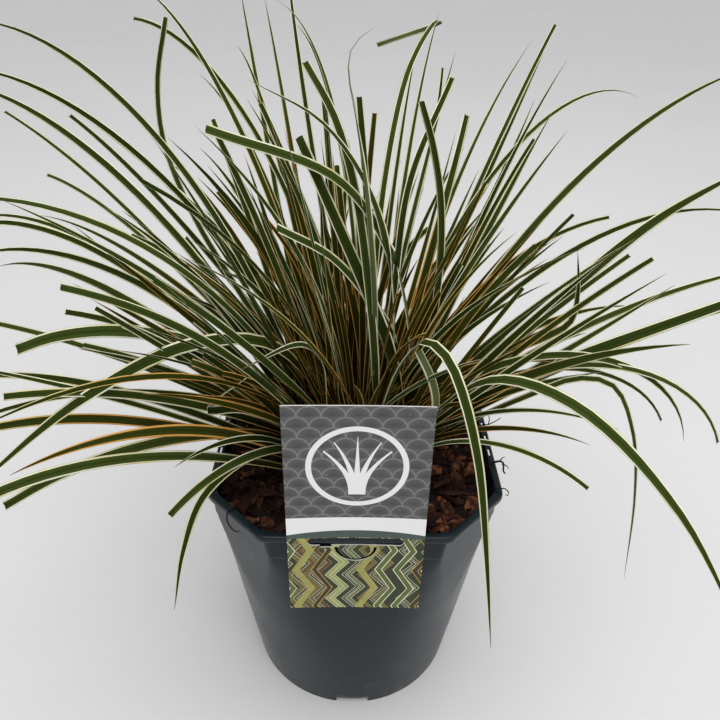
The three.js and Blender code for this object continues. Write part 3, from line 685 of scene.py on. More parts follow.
def strand(route, thickness):
    """A thin round strand through the given points, as points and faces."""
    route = smooth_route(route, STRAND_RINGS)
    points = []
    for index, place in enumerate(route):
        ahead = route[min(index + 1, len(route) - 1)] - route[max(index - 1, 0)]
        ahead = ahead / np.linalg.norm(ahead)
        side = np.cross(ahead, STRAND_ASIDE)
        side = side / np.linalg.norm(side)
        other = np.cross(ahead, side)
        radius = thickness / 2 * (1 - 0.5 * index / (len(route) - 1))
        for turn in 2 * pi * np.arange(STRAND_SIDES) / STRAND_SIDES:
            points.append(place + radius * (cos(turn) * side + sin(turn) * other))
    return np.array(points), tube_faces(len(route), STRAND_SIDES)


def smooth_route(route, count):
    """Evenly spaced points on a smooth curve through the given ones (centripetal Catmull-Rom)."""
    given = [np.array(point, dtype=float) for point in route]
    given = [2 * given[0] - given[1], *given, 2 * given[-1] - given[-2]]
    fine = []
    for index in range(1, len(given) - 2):
        p0, p1, p2, p3 = given[index - 1:index + 3]
        t1 = np.linalg.norm(p1 - p0) ** 0.5
        t2 = t1 + np.linalg.norm(p2 - p1) ** 0.5
        t3 = t2 + np.linalg.norm(p3 - p2) ** 0.5
        for t in np.linspace(t1, t2, ROUTE_STEPS, endpoint=index == len(given) - 3):
            a1 = (t1 - t) / t1 * p0 + t / t1 * p1
            a2 = (t2 - t) / (t2 - t1) * p1 + (t - t1) / (t2 - t1) * p2
            a3 = (t3 - t) / (t3 - t2) * p2 + (t - t2) / (t3 - t2) * p3
            b1 = (t2 - t) / t2 * a1 + t / t2 * a2
            b2 = (t3 - t) / (t3 - t1) * a2 + (t - t1) / (t3 - t1) * a3
            fine.append((t2 - t) / (t2 - t1) * b1 + (t - t1) / (t2 - t1) * b2)
    fine = np.array(fine)
    gone = np.concatenate([[0], np.cumsum(np.linalg.norm(np.diff(fine, axis=0), axis=1))])
    wanted = np.linspace(0, gone[-1], count)
    return np.stack([np.interp(wanted, gone, fine[:, axis]) for axis in range(3)], axis=1)


# The fibres that curl over the lip, each with its thickness and the points it passes through.
LIP_FIBRES = [
    # a thick one hooked over the left corner face
    (1.5, [
        (-72, -67, 188), (-75, -70, 197.5), (-78, -73, 198), (-79.5, -76, 193), (-78, -78.5, 189.5),
        (-74.5, -81.5, 188), (-71.5, -84, 189.5), (-71, -84.8, 191.5),
    ]),
    # a tangle over the right side
    (2.2, [
        (88, -26, 188), (93, -28, 198), (96, -28, 199), (98.5, -28.5, 199.5), (99.5, -31, 198),
        (99, -33, 195.5), (100.5, -34, 193.5),
    ]),
    (1.0, [(97, -28, 198.5), (98.5, -27, 200.5), (100.5, -26.5, 202)]),
    (1.0, [(98.5, -30, 198), (101, -31.5, 198.5), (102.5, -33, 197)]),
    # a thin loop over the right corner
    (1.2, [
        (86, -50, 188), (89.5, -52.5, 197.8), (93.5, -53.5, 198.3), (96.2, -53.7, 198.3),
        (98.5, -55.5, 196.5), (97.5, -57, 195), (96.2, -56, 195.5),
    ]),
    # a branching one further back on the right
    (1.2, [(88, 14, 190), (92, 13, 198), (96, 12, 199), (99, 13, 200), (102, 13, 202), (105, 15, 203)]),
    (0.9, [(96, 12, 199), (97, 15, 202), (96, 18, 204)]),
    # two at the back
    (0.9, [(-88, 20, 184), (-93, 24, 197), (-97, 22, 198), (-100, 25, 193)]),
    (0.9, [(60, 84, 184), (64, 90, 197), (66, 97, 198), (70, 99, 193)]),
]


def fibre_mesh():
    """The fibres over the lip, and short ones that lie about in the mix."""
    loose = random.Random(FIBRE_SEED)
    strands = [strand(route, thickness) for thickness, route in LIP_FIBRES]
    for _ in range(SHORT_FIBRES):
        angle = loose.uniform(0, 2 * pi)
        distance = between(*FIBRE_REACH, loose.random() ** 0.6)
        heading = loose.uniform(0, 2 * pi)
        place = np.array([distance * cos(angle), distance * sin(angle), 0.0])
        route = []
        for lift in FIBRE_LIFTS:
            level = float(mix_surface(np.hypot(place[0], place[1]) / MIX_RADIUS, angle))
            route.append((place[0], place[1], level + lift + loose.uniform(-0.5, 1.5)))
            heading += loose.uniform(-0.9, 0.9)
            place = place + loose.uniform(3, 8) * np.array([cos(heading), sin(heading), 0])
        strands.append(strand(held_inside(np.array(route)), loose.uniform(0.35, 0.8)))
    return mesh_of("root_fibres", *merged(strands))


def fibre_finish():
    finish, tree, shader = new_finish("root_fibre", 0.55, 0.15)
    place = wire(tree, "TexCoord", {}, "Object")
    feed(shader, "Base Color", blended(noise(place, 60, 3) * 0.25, FIBRE, BARK_RED))
    bumped(shader, noise(place, 900, 3), 0.0002, 0.6)
    return finish


peat_filling = show(peat_mesh(), [peat_finish()])
bark_chips = show(bark_mesh(), [bark_finish()])
root_fibres = show(fibre_mesh(), [fibre_finish()])
for part in (peat_filling, bark_chips, root_fibres):
    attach(part, "root")
    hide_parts("growing_mix")

# ---------------------------------------------------------------- sedge tuft
# One grown plant: stiff keeled blades that fan out of a dense crown, deep green down the middle
# with cream margins, warm orange on the younger inner blades. Some were cut square, some are folded.
FAN_SEED = 1207
INNER_SEED = 90210
YOUNG_SEED = 61
FACE_SEED = 31
LOOK_SEED = 7
CROWN_ROOT_LEVEL = 180
CROWN_ROOT_RADIUS = 33
ARC_STEPS = 50
KEEL = 1.3
KEELED_FROM = 1.4  # half a blade's width where its keel has its full depth
BEND_POWER = 1.5
FACE_TURN = 48
FACE_SCATTER = 50
TURNED_BY = 0.5  # share of the length by which a blade has turned its face
SHEATH_DEPTH = 13  # how far a blade is led on below its root
SHEATH_INWARDS = 0.86  # and how near to the axis, as a share of its root's distance
YOUNG_SHARE = 2  # young blades for each inner blade
# A blade is raised at its root until it is out of these: in front of, beside and above the card,
# and from inside to outside the lip and above it.
CARD_ZONE = (80, 52, 8)
LIP_ZONE = (78, 104, 6)
STEEPEST_RISE = 88
RISE_STEP = 5
# Along a blade, its width as shares of the greatest.
ROOT_WIDTH = 0.6
WIDEST_FROM = 0.3
TAPERS_FROM = 0.55
TAPER_POWER = 1.6
TIP_WIDTHS = (0.03, 0.8)  # pointed, and cut square
LOOK_AHEAD = 4
WAVES = 9
MAP_UNIT = 100
# Ranges in millimetres along a blade: where its warm colour has faded, how much of its tip is dry,
# and where the brown of its root ends, which is partly real browning and partly painted shade of the
# crown.
WARM_TO = (60, 180)
DRY_TIP = (6, 22)
BROWN_AND_SHADE_TO = (75, 140)

# Blades grow in fans: each fan is given by how many blades it has, its first blade and its last.
# A blade is (heading, rise, bend, length, width, sweep), in degrees and millimetres.
FANS = [
    # back left, tall, arching over
    (5, (153, 58, 74, 440, 5.4, 0), (125, 70, 72, 420, 4.6, 0)),
    # back, nearly straight
    (3, (112, 50, 20, 430, 4, 0), (102, 60, 40, 420, 4, -15)),
    # back, upright and tipping over
    (4, (118, 65, 60, 360, 4, 0), (92, 88, 90, 390, 3.2, 10)),
    # left, held out level
    (5, (140, 38, 20, 390, 4, 0), (153, 28, 50, 410, 6, 0)),
    # left, arching
    (4, (158, 50, 70, 320, 4.4, 0), (180, 70, 100, 340, 5.6, 0)),
    # left, low
    (4, (166, 25, 40, 340, 5.4, 0), (196, 33, 80, 300, 7, 0)),
    # left, short
    (5, (166, 35, 20, 170, 5, 0), (205, 45, 50, 220, 8, 0)),
    # front left, short
    (4, (204, 65, 40, 125, 5.6, 0), (232, 50, 70, 145, 5, 0)),
    # back right, tall
    (6, (80, 74, 50, 340, 3.2, 0), (50, 46, 15, 360, 4.8, 0)),
    # back right, leaning out
    (4, (34, 62, 45, 300, 5, 30), (50, 58, 30, 325, 3.6, 20)),
    # right, long, arching over
    (3, (47, 67, 92, 400, 4.4, 0), (12, 32, 50, 400, 5, 0)),
    # right, long, held out
    (2, (33, 56, 50, 430, 6, 0), (14, 32, 30, 340, 5.6, 0)),
    # right, stiff
    (5, (30, 40, 20, 240, 4, 0), (-25, 60, 5, 210, 6, 0)),
    # right, drooping
    (4, (0, 50, 95, 210, 3.2, 0), (-10, 62, 140, 285, 5, 0)),
    # front right, short
    (3, (-12, 40, 50, 155, 4, 0), (-38, 58, 80, 165, 4.4, 0)),
]

# The inner blades stand in lobes: (count, heading, spread to both sides, range of the lean from
# upright, range of the length).
LOBES = [
    (32, 155, 72, (2, 62), (160, 300)),
    (18, 32, 48, (14, 56), (140, 270)),
    (9, 268, 84, (0, 40), (110, 170)),
]

# Blades that fold, double back or hang over something: (width, cut square, points passed through).
ROUTED_BLADES = [
    # hangs down in front of the lip
    (6, False, [
        (10, -15, 180), (18, -32, 250), (26, -46, 290), (36, -62, 314), (46, -79, 314),
        (54, -94, 300), (63, -110, 268), (71, -123, 215), (79, -136, 150),
    ]),
    # hangs down past the right side
    (4.6, False, [
        (25, -5, 180), (70, -10, 215), (110, -15, 243), (142, -17, 260), (164, -20, 257),
        (184, -23, 222), (198, -25, 165), (209, -26, 80),
    ]),
    # wide, arching out over the left side
    (8.4, False, [
        (-20, -5, 180), (-30, -10, 250), (-55, -17, 284), (-100, -30, 290), (-165, -50, 262),
        (-240, -75, 205),
    ]),
    # broad, held out level over the left side
    (9, True, [
        (-22, -2, 180), (-42, -5, 226), (-98, -12, 278), (-145, -18, 292), (-182, -24, 291),
        (-205, -28, 284),
    ]),
    # broad, low over the left side and drooping
    (7.6, True, [
        (-24, -4, 180), (-55, -12, 206), (-90, -22, 216), (-140, -36, 216), (-188, -50, 204),
        (-224, -60, 186),
    ]),
    # hangs down over the front left corner
    (5.2, False, [
        (-20, -14, 180), (-45, -34, 212), (-68, -54, 222), (-92, -74, 210), (-106, -86, 176),
        (-116, -94, 128),
    ]),
    # broad, straight out to the right and rising
    (9, False, [
        (28, 12, 180), (66, 28, 208), (105, 45, 236), (165, 75, 285), (225, 105, 322),
        (320, 150, 356),
    ]),
    # broad, lower out to the right
    (9.4, True, [
        (30, 0, 180), (86, 8, 225), (140, 14, 251), (190, 18, 272), (244, 22, 294),
    ]),
    # arches out over the front right corner
    (6.8, False, [
        (20, -18, 180), (45, -45, 250), (75, -75, 298), (110, -110, 304), (150, -150, 275),
        (185, -185, 220),
    ]),
    # stands up straight behind the left fan
    (4.8, True, [
        (-18, 18, 180), (-50, 50, 222), (-90, 90, 266), (-126, 126, 312), (-146, 146, 360),
        (-146, 150, 402), (-132, 140, 446),
    ]),
    # broad, rising across the middle and leaning back to the left
    (8, True, [
        (30, -12, 180), (30, 0, 227), (21, 2, 270), (6, 1, 310), (-9, -2, 348), (-33, -8, 407),
    ]),
    # over the middle, tipping forward to the left
    (5.2, False, [
        (20, 2, 180), (24, 6, 256), (20, 5, 322), (7, 2, 372), (-20, -5, 414), (-57, -15, 437),
    ]),
    # broad, over the middle, its end held out level to the left
    (7.4, True, [
        (24, 6, 180), (35, 13, 240), (32, 11, 290), (18, 6, 338), (-12, -4, 383),
        (-78, -28, 416),
    ]),
    # broad, lower, its end held out to the left
    (8.4, True, [
        (26, 10, 180), (36, 24, 222), (26, 18, 262), (7, 5, 304), (-16, -12, 340),
        (-44, -31, 365),
    ]),
    # behind those, leaning back to the left
    (5.6, True, [
        (14, -12, 180), (12, -8, 260), (6, -4, 320), (-2, 2, 372), (-14, 12, 412),
        (-31, 26, 439),
    ]),
    # thin, upright, with its tip hooked over to the right
    (4, False, [
        (8, 8, 180), (11, -4, 290), (5, -6, 370), (-2, 4, 415), (-7, 9, 438), (-4, 4, 452),
        (6, 2, 460),
    ]),
    # upright on the right, its end bent back towards the middle
    (5.4, True, [
        (28, 14, 180), (48, 28, 240), (54, 33, 310), (51, 31, 358), (43, 26, 394),
        (34, 20, 420),
    ]),
    # leaning out to the back right, stiff
    (5, True, [
        (14, 14, 180), (24, 30, 290), (32, 44, 366), (60, 92, 420),
    ]),
    # out to the right, its end turned up
    (6.4, False, [
        (28, -4, 180), (78, 10, 245), (104, 14, 261), (128, 18, 270), (143, 20, 280),
        (144, 20, 302), (138, 19, 332),
    ]),
    # bent over level in the front of the crown
    (5.4, False, [
        (-18, -12, 180), (-20, -15, 240), (-22, -18, 272), (-34, -28, 290), (-66, -56, 290),
    ]),
    # doubled back on itself, left of the crown
    (6.4, True, [
        (-20, -6, 180), (-46, -20, 222), (-74, -34, 246), (-92, -40, 249), (-66, -36, 271),
    ]),
    # tall, with its end folded over to the left
    (4.6, True, [
        (4, 6, 180), (9, 20, 280), (16, 45, 365), (30, 92, 420), (56, 172, 444), (61, 190, 440),
        (14, 190, 424),
    ]),
    # short stub behind the card
    (7.4, True, [
        (26, -22, 180), (38, -44, 225), (45, -62, 270), (42, -60, 286), (34, -50, 300),
    ]),
]
LEAF_GREEN = (0.0098, 0.0178, 0.0012, 1)
LEAF_GREEN_LIGHT = (0.060, 0.086, 0.018, 1)
LEAF_OLIVE = (0.030, 0.024, 0.0006, 1)
LEAF_GLAUCOUS = (0.092, 0.115, 0.052, 1)
LEAF_CREAM = (0.86, 0.85, 0.64, 1)
LEAF_YELLOW = (0.60, 0.54, 0.20, 1)
LEAF_ORANGE = (0.70, 0.36, 0.095, 1)
LEAF_DRY = (0.30, 0.19, 0.09, 1)
# near black: the brown of a blade's root with painted shade over it, for the packed crown
ROOT_BROWN_IN_SHADE = (0.009, 0.008, 0.002, 1)
card_low, card_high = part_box("label_card")


def arc_spine(blade):
    """The middle line of a blade that leaves the crown and bends over under its weight."""
    start = radians(blade["heading"])
    root_at = start + radians(blade["root_turn"])
    reach = CROWN_ROOT_RADIUS * blade["root_reach"]
    share = (np.arange(ARC_STEPS) + 0.5) / ARC_STEPS
    lift = np.radians(blade["rise"] - blade["bend"] * share ** BEND_POWER)
    turn = start + np.radians(blade["sweep"] * share)
    steps = np.stack([np.cos(lift) * np.cos(turn), np.cos(lift) * np.sin(turn), np.sin(lift)], axis=1)
    root = np.array([reach * cos(root_at), reach * sin(root_at), CROWN_ROOT_LEVEL])
    return np.concatenate([[root], root + np.cumsum(steps, axis=0) * blade["length"] / ARC_STEPS])


def is_clear(spine):
    """True where a blade keeps clear of the card and of the lip."""
    x, y, z = spine.T
    in_front, beside, above = CARD_ZONE
    before_card = (y < -in_front) & (np.abs(x) < beside) & (z < card_high.z / MM + above)
    inside, outside, above = LIP_ZONE
    reach = np.maximum(np.abs(x), np.abs(y))
    over_rim = (reach > inside) & (reach < outside) & (z < RIM_TOP + above)
    return not (before_card | over_rim).any()


def raised_clear(blade):
    """Raises a blade at its root until it passes over the lip and behind the card."""
    while blade["rise"] < STEEPEST_RISE and not is_clear(arc_spine(blade)):
        blade = {**blade, "rise": blade["rise"] + RISE_STEP}
    return blade


def either_side(middle, spread):
    return middle - spread, middle + spread


def drawn_blade(draw, cut_chance, ranges):
    """A blade with each of its values drawn in turn from its range."""
    blade = {key: between(low, high, next(draw)) for key, (low, high) in ranges.items()}
    blade["cut"] = next(draw) < cut_chance
    return raised_clear(blade)


def fan_blades():
    draw = seeded_draws(FAN_SEED)
    for count, first, last in FANS:
        for share in np.linspace(0, 1, count):
            even = between(np.array(first), np.array(last), share)
            heading, rise, bend, length, width, sweep = (float(value) for value in even)
            yield drawn_blade(draw, cut_chance=0.35, ranges={
                "heading": either_side(heading, 6),
                "rise": either_side(rise, 4),
                "bend": either_side(bend, 7),
                "length": either_side(length, 0.06 * length),
                "width": either_side(width, 0.12 * width),
                "sweep": either_side(sweep, 12),
                "root_turn": (-45, 45),
                "root_reach": (0.5, 1),
            })


def inner_blades():
    draw = seeded_draws(INNER_SEED)
    for count, heading, spread, lean, length in LOBES:
        for _ in range(count):
            yield drawn_blade(draw, cut_chance=0.3, ranges={
                "heading": either_side(heading, spread),
                "rise": (90 - lean[0], 90 - lean[1]),
                "bend": (5, 60),
                "length": length,
                "width": (3.4, 6.6),
                "sweep": (-26, 26),
                "root_turn": (-90, 90),
                "root_reach": (0.2, 1),
            })


def young_blades():
    """The thin young blades that fill the heart of the crown: shorter and more upright."""
    draw = iter(random.Random(YOUNG_SEED).random, None)
    for count, heading, spread, lean, length in LOBES:
        for _ in range(YOUNG_SHARE * count):
            yield drawn_blade(draw, cut_chance=0.25, ranges={
                "heading": either_side(heading, spread),
                "rise": (90 - lean[0], 90 - 0.75 * lean[1]),
                "bend": (0, 45),
                "length": (0.5 * length[1], 0.85 * length[1]),
                "width": (3.2, 5.4),
                "sweep": (-25, 25),
                "root_turn": (-90, 90),
                "root_reach": (0.1, 0.9),
            })


def width_share(share, cut):
    """Narrow at the root, widest at a third, then tapering to a point or to a square cut."""
    body = between(ROOT_WIDTH, 1, np.minimum(1, share / WIDEST_FROM))
    gone = np.maximum(0, (share - TAPERS_FROM) / (1 - TAPERS_FROM))
    return body * between(1, TIP_WIDTHS[cut], gone ** TAPER_POWER)


# A blade's section: across from margin to margin, and how deep below the margins. Six strips on
# top, four underneath.
SECTION = [
    (-1, 0.0), (-0.62, 0.22), (-0.25, 0.5), (0, 0.72), (0.25, 0.5), (0.62, 0.22), (1, 0.0),
    (0.55, 0.55), (0, 1.0), (-0.55, 0.55),
]
TOP_STRIPS = 6
# For each kind of blade: the rings of points along it, how seldom it is warm in colour, how light
# its green is (lower for the inner and young blades, partly as painted shade of the dense crown and
# partly each blade's own tone), and where across it the pale margin begins.
BLADE_KINDS = {
    "fan": (30, 4, (0.15, 1), (0.64, 0.76)),
    "inner": (24, 0.8, (0.1, 0.8), (0.66, 0.8)),
    "young": (18, 0.45, (0, 0.6), (0.72, 0.88)),
    "routed": (34, 12, (0.25, 0.85), (0.68, 0.76)),
}


def blade_points(spine, width, cut, twist, stations, wave):
    """Rings of points along a blade, each shaped as its section."""
    places = np.linspace(0, 1, stations)
    along_all = np.gradient(spine, axis=0)
    index = places * (len(spine) - 1)
    whole = np.arange(len(spine))
    middle = np.stack([np.interp(index, whole, spine[:, axis]) for axis in range(3)], axis=1)
    along = np.stack([np.interp(index, whole, along_all[:, axis]) for axis in range(3)], axis=1)
    along /= np.linalg.norm(along, axis=1, keepdims=True)
    ahead = middle + along * LOOK_AHEAD
    outward = ahead - spine[0]
    outward[:, 2] = 0
    outward /= np.linalg.norm(outward, axis=1, keepdims=True)
    side = np.cross([0.0, 0.0, 1.0], outward)
    side -= along * (side * along).sum(axis=1, keepdims=True)
    side /= np.linalg.norm(side, axis=1, keepdims=True)
    turned = twist * np.minimum(1, places / TURNED_BY) + wave * np.sin(places * WAVES + wave)
    turn = np.radians(turned)[:, None]
    side = side * np.cos(turn) + np.cross(along, side) * np.sin(turn)
    under = np.cross(side, along)
    half = (width * width_share(places, cut) / 2)[:, None]
    depth = KEEL * np.minimum(1, half / KEELED_FROM)
    rings = [middle + side * half * across + under * depth * deep for across, deep in SECTION]
    return np.stack(rings, axis=1)


def tuft_mesh():
    """Every blade, with a map of where on the blade a point lies and the blade's own colouring."""
    draw = seeded_draws(FACE_SEED)
    look = random.Random(LOOK_SEED)
    blades = []
    for kind, grown in (("fan", fan_blades()), ("inner", inner_blades()), ("young", young_blades())):
        for blade in grown:
            turned = next(draw) if kind != "young" else look.random()
            twist = FACE_TURN * cos(radians(blade["heading"])) + FACE_SCATTER * (turned - 0.5)
            blades.append((kind, arc_spine(blade), blade["width"], blade["cut"], twist))
    for width, cut, route in ROUTED_BLADES:
        aside, ahead = np.array(route[-1][:2]) - np.array(route[0][:2])
        twist = FACE_TURN * aside / np.hypot(aside, ahead)
        blades.append(("routed", smooth_route(route, ARC_STEPS + 1), width, cut, twist))
    bodies, places, below = [], [], []
    values = {"warmth": [], "shade": [], "margin": [], "dry": []}
    ring_size = len(SECTION)
    across = np.array([(x + 1) / 2 for x, _ in SECTION])
    for kind, spine, width, cut, twist in blades:
        stations, coolness, greens, margins = BLADE_KINDS[kind]
        sheath = spine[0] * (SHEATH_INWARDS, SHEATH_INWARDS, 1) - (0, 0, SHEATH_DEPTH)
        spine = np.concatenate([[sheath], spine])
        rings = blade_points(spine, width, cut, twist, stations, look.uniform(0, 7))
        bodies.append((rings.reshape(-1, 3), tube_faces(stations, ring_size)))
        strips = np.arange((stations - 1) * ring_size) % ring_size
        below += [*(strips >= TOP_STRIPS), False, False]
        length = np.linalg.norm(np.diff(spine, axis=0), axis=1).sum()
        from_root = np.linspace(0, 1, stations) * length
        grid = np.stack(np.broadcast_arrays(across[None, :], from_root[:, None] / MAP_UNIT), axis=-1)
        places.append(grid.reshape(-1, 2) + np.array([0, look.randrange(0, 60) * 5]))
        warm = look.random() ** coolness
        warm = np.clip(warm + 0.8 * (1 - from_root / look.uniform(*WARM_TO)), 0, 1)
        # the inner and young blades draw darker greens, partly as painted shade of the packed crown
        green = between(*greens, look.random())
        margin = between(*margins, look.random())
        dried = 0 if cut else np.clip(1 - (length - from_root) / look.uniform(*DRY_TIP), 0, 1)
        # painted shade: the root's brown runs on towards black deep in the crown; it is kept as negative
        # dry values
        browned_and_shaded = np.clip(1.3 - from_root / look.uniform(*BROWN_AND_SHADE_TO), 0, 1)
        for key, value in zip(values, (warm, green, margin, dried - browned_and_shaded)):
            values[key].append(np.repeat(np.broadcast_to(value, stations), ring_size))
    mesh = mesh_of("sedge_blades", *merged(bodies))
    add_map(mesh, "blade", np.concatenate(places))
    for key, parts in values.items():
        add_values(mesh, key, np.concatenate(parts))
    mesh.polygons.foreach_set("material_index", np.array(below, dtype=np.int32))
    return mesh


def leaf_finish(name, green, green_light, roughness):
    """Green down the middle in fine lines, with painted shade along the keel; pale margins; dry at the
    tip; brown at the root, deepened towards black by painted shade in the crown.
    """
    finish, tree, shader = new_finish(name, roughness, 0.015)
    place = read_map(tree, "blade")
    across = wire(tree, "SeparateXYZ", {0: place}, "X")
    warmth, shade, margin_from, dry = (
        read_values(tree, key) for key in ("warmth", "shade", "margin", "dry")
    )
    lines = noise(stretched(place, 26.0, 0.5), 1, 3)
    cloudy = noise(stretched(place, 1.2, 1.0), 2.4, 3)
    off_middle = abs(across * 2.0 - 1.0)
    margin = eased(off_middle + (cloudy * 0.16 - 0.08), margin_from, margin_from + 0.05)
    body = blended(shade * 0.8, green, green_light)
    body = blended(eased(warmth, 0.1, 1.0) * 0.7, body, LEAF_OLIVE)
    # painted shade: the blade darkened down its middle, along the keel groove
    body = blended(faded(off_middle, 0.06, 0.3) * 0.45, body, green)
    body = blended(eased(lines, 0.4, 0.7) * 0.3, body, green_light)
    body = blended(eased(cloudy, 0.5, 0.8) * 0.4, body, green)
    cream = blended(eased(cloudy, 0.4, 0.75), LEAF_CREAM, LEAF_YELLOW)
    cream = blended(eased(warmth, 0.0, 0.5) * 0.8, cream, LEAF_YELLOW)
    rim = blended(eased(warmth, 0.2, 0.65), cream, LEAF_ORANGE)
    # painted shade: towards the root the body and the margins darken to near black, partly real browning
    # and partly the crown's shade
    browned_and_shaded = eased(dry * -1.0, 0.0, 1.0)
    body = blended(browned_and_shaded * 0.9, body, ROOT_BROWN_IN_SHADE)
    rim = blended(browned_and_shaded * 0.45, rim, ROOT_BROWN_IN_SHADE)
    colour = blended(margin, body, rim)
    feed(shader, "Base Color", blended(eased(dry, 0.1, 0.9), colour, LEAF_DRY))
    feed(shader, "Roughness", cloudy * 0.18 + (roughness - 0.09))
    bumped(shader, lines, 0.00025, 0.6)
    return finish


upper = leaf_finish("leaf_upper", LEAF_GREEN, LEAF_GREEN_LIGHT, 0.44)
underside = leaf_finish("leaf_underside", LEAF_GREEN_LIGHT, LEAF_GLAUCOUS, 0.6)
sedge_blades = show(tuft_mesh(), [upper, underside])
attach(sedge_blades, "root")
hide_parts("sedge_tuft")

# ---------------------------------------------------------------- crown of old sheaths
# The dense heart of the plant where the shoots are packed together: old split leaf sheaths, brown
# and dry at the edges, standing close round one another.
CROWN_SHEATHS = 150
SHEATH_SEED = 19
SHEATH_TURN = 137.5  # from one sheath to the next, which spreads them evenly
SHEATHS_RADIUS = 31
SHEATH_FOOT_LEVEL = 167
SHEATH_THICKNESS = 0.5
SHEATH_BOW = 1.6
SHEATH_LEAN = (4, 26)  # at the middle of the crown and at its edge
SHEATH_SHRINK = (1.15, 0.8)  # the same
SHEATH_WIDTH = (5, 9)
SHEATH_HEIGHT = (26, 52)
SHEATH_SUNK = 7
SHEATH_TAPER = 0.8
SHEATH_TAPER_POWER = 2.2
SHEATH_ROWS = 6
SHEATH_COLUMNS = (-1, -0.5, 0, 0.5, 1)
SHEATH_DARK = (0.012, 0.011, 0.005, 1)
SHEATH_TAN = (0.055, 0.038, 0.014, 1)
SHEATH_GREEN = (0.03, 0.04, 0.012, 1)


def sheath_mesh():
    """Short overlapping strips in rings, each bowed round its shoot."""
    loose = random.Random(SHEATH_SEED)
    strips, tones, places = [], [], []
    for index in range(CROWN_SHEATHS):
        share = ((index + 0.5) / CROWN_SHEATHS) ** 0.5
        heading = radians(index * SHEATH_TURN)
        lean = radians(between(*SHEATH_LEAN, share))
        width = loose.uniform(*SHEATH_WIDTH)
        height = loose.uniform(*SHEATH_HEIGHT) * between(*SHEATH_SHRINK, share)
        outward = np.array([cos(heading), sin(heading), 0])
        side = np.array([-sin(heading), cos(heading), 0])
        points = []
        for up in np.linspace(0, 1, SHEATH_ROWS):
            middle = outward * (SHEATHS_RADIUS * share + np.tan(lean) * height * up * 0.5)
            middle = middle + np.array([0, 0, SHEATH_FOOT_LEVEL + (height + SHEATH_SUNK) * up])
            taper = 1 - SHEATH_TAPER * up ** SHEATH_TAPER_POWER
            for across in SHEATH_COLUMNS:
                bow = outward * (SHEATH_BOW * (1 - across * across))
                points.append(middle + side * across * width / 2 * taper + bow)
                places.append(((across + 1) / 2, up + index * 3))
        strips.append((points, grid_faces(SHEATH_ROWS, len(SHEATH_COLUMNS), closed=False)))
        tones += [loose.random()] * len(points)
    mesh = mesh_of("crown_sheaths", *merged(strips))
    add_map(mesh, "sheath", places)
    add_values(mesh, "tone", tones)
    return mesh


def sheath_finish():
    finish, tree, shader = new_finish("old_sheath", 0.7, 0.3)
    lines = noise(stretched(read_map(tree, "sheath"), 14.0, 1.0), 1, 3)
    colour = blended(eased(lines, 0.35, 0.7), SHEATH_DARK, SHEATH_TAN)
    feed(shader, "Base Color", blended(read_values(tree, "tone") * 0.4, colour, SHEATH_GREEN))
    bumped(shader, lines, 0.0003, 0.7)
    return finish


crown_sheaths = show(sheath_mesh(), [sheath_finish()])
thick = crown_sheaths.modifiers.new("thickness", "SOLIDIFY")
thick.thickness = SHEATH_THICKNESS * MM
bpy.context.view_layer.objects.active = crown_sheaths
bpy.ops.object.modifier_apply(modifier=thick.name)
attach(crown_sheaths, "root")
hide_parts("sedge_tuft")

# ---------------------------------------------------------------- label card
# A stiff coated card, printed on its face only and die-cut, so its pale core shows at the edges. It
# hangs on the pot's lip by a slit, with a half-round tongue below. The print is a plain pattern.
CARD_THICKNESS = 0.8
SLIT_HALF = 28.5
SLIT_ROOM = 0.5  # over and under the lip
TONGUE_HALF = 12.8
TONGUE_DROP = 12
TONGUE_CUT = 1.9
TONGUE_TOP = LIP_BOTTOM - 2.1
NICK = (-21.5, -14.5)  # from side to side, a notch in the slit's lower edge
NICK_DROP = 2.2
CUT_DEPTH = 5
CUT_STEPS = 24  # round the tongue
SLIT_END_STEPS = 8
CARD_GRID = (66, 96)  # points across and up
CARD_SET_BACK = 0.6
CARD_BOW = 0.9
LEAST_BOW = 0.35
BOW_REACH = 40  # up and down from the lip
# The print: its fields by the heights where they meet, its scales, its emblem and its ribbons.
LEAF_FIELD_TOP = 197.5
BAND_BOTTOM = 203.5
BAND_ARCH = 0.0017
BAND_TOP = 214.0
SCALE_WIDTH = 13.0
SCALE_RISE = 7.0
EMBLEM_LEVEL = 252.0
RING_RADIUS = 27.0
RING_HALF_WIDTH = 1.6
LEAVES_REACH = 22.0
LEAVES_FOOT = 20.0  # below the emblem's middle
LEAVES_RISE = 40.0
LEAVES_FAN = 26.0
LEAVES_APART = 2.4
LEAF_HALF_WIDTH = 2.5
LEAF_TAPER = 2.3
# (pitch, height of a zig, how far it leans for its height, seed of the colours, share left bare)
RIBBONS = ((3.4, 11.0, 0.8, 3.5, 0.42), (5.6, 17.0, -0.55, 40.5, 0.5))
CARD_CORE = (0.62, 0.61, 0.57, 1)
CARD_GREY = (0.040, 0.040, 0.041, 1)
CARD_GREY_LIGHT = (0.108, 0.108, 0.109, 1)
CARD_WHITE = (0.77, 0.77, 0.765, 1)
CARD_SLATE = (0.055, 0.080, 0.072, 1)
CARD_GREEN = (0.026, 0.036, 0.014, 1)
CARD_LEAF = (0.110, 0.150, 0.040, 1)
CARD_LIME = (0.36, 0.40, 0.12, 1)
CARD_ORANGE = (0.60, 0.30, 0.07, 1)
CARD_PALE = (0.88, 0.88, 0.60, 1)


def scale_print(cloud, x, z):
    """Rows of soft grey scales, each row shifted by half a scale."""
    row = (z / SCALE_RISE).maths("FLOOR")
    shift = row % 2.0 * (SCALE_WIDTH / 2)
    from_middle = (x + shift) % SCALE_WIDTH - SCALE_WIDTH / 2
    distance = (from_middle ** 2.0 + (z - row * SCALE_RISE) ** 2.0) ** 0.5
    line = faded(abs(distance - SCALE_WIDTH / 2), 0.25, 0.7)
    shading = eased(distance, 0.0, SCALE_RISE) * 0.5
    grey = blended(shading + cloud * 0.5, CARD_GREY, CARD_GREY_LIGHT)
    return blended(line * 0.12, grey, CARD_WHITE)


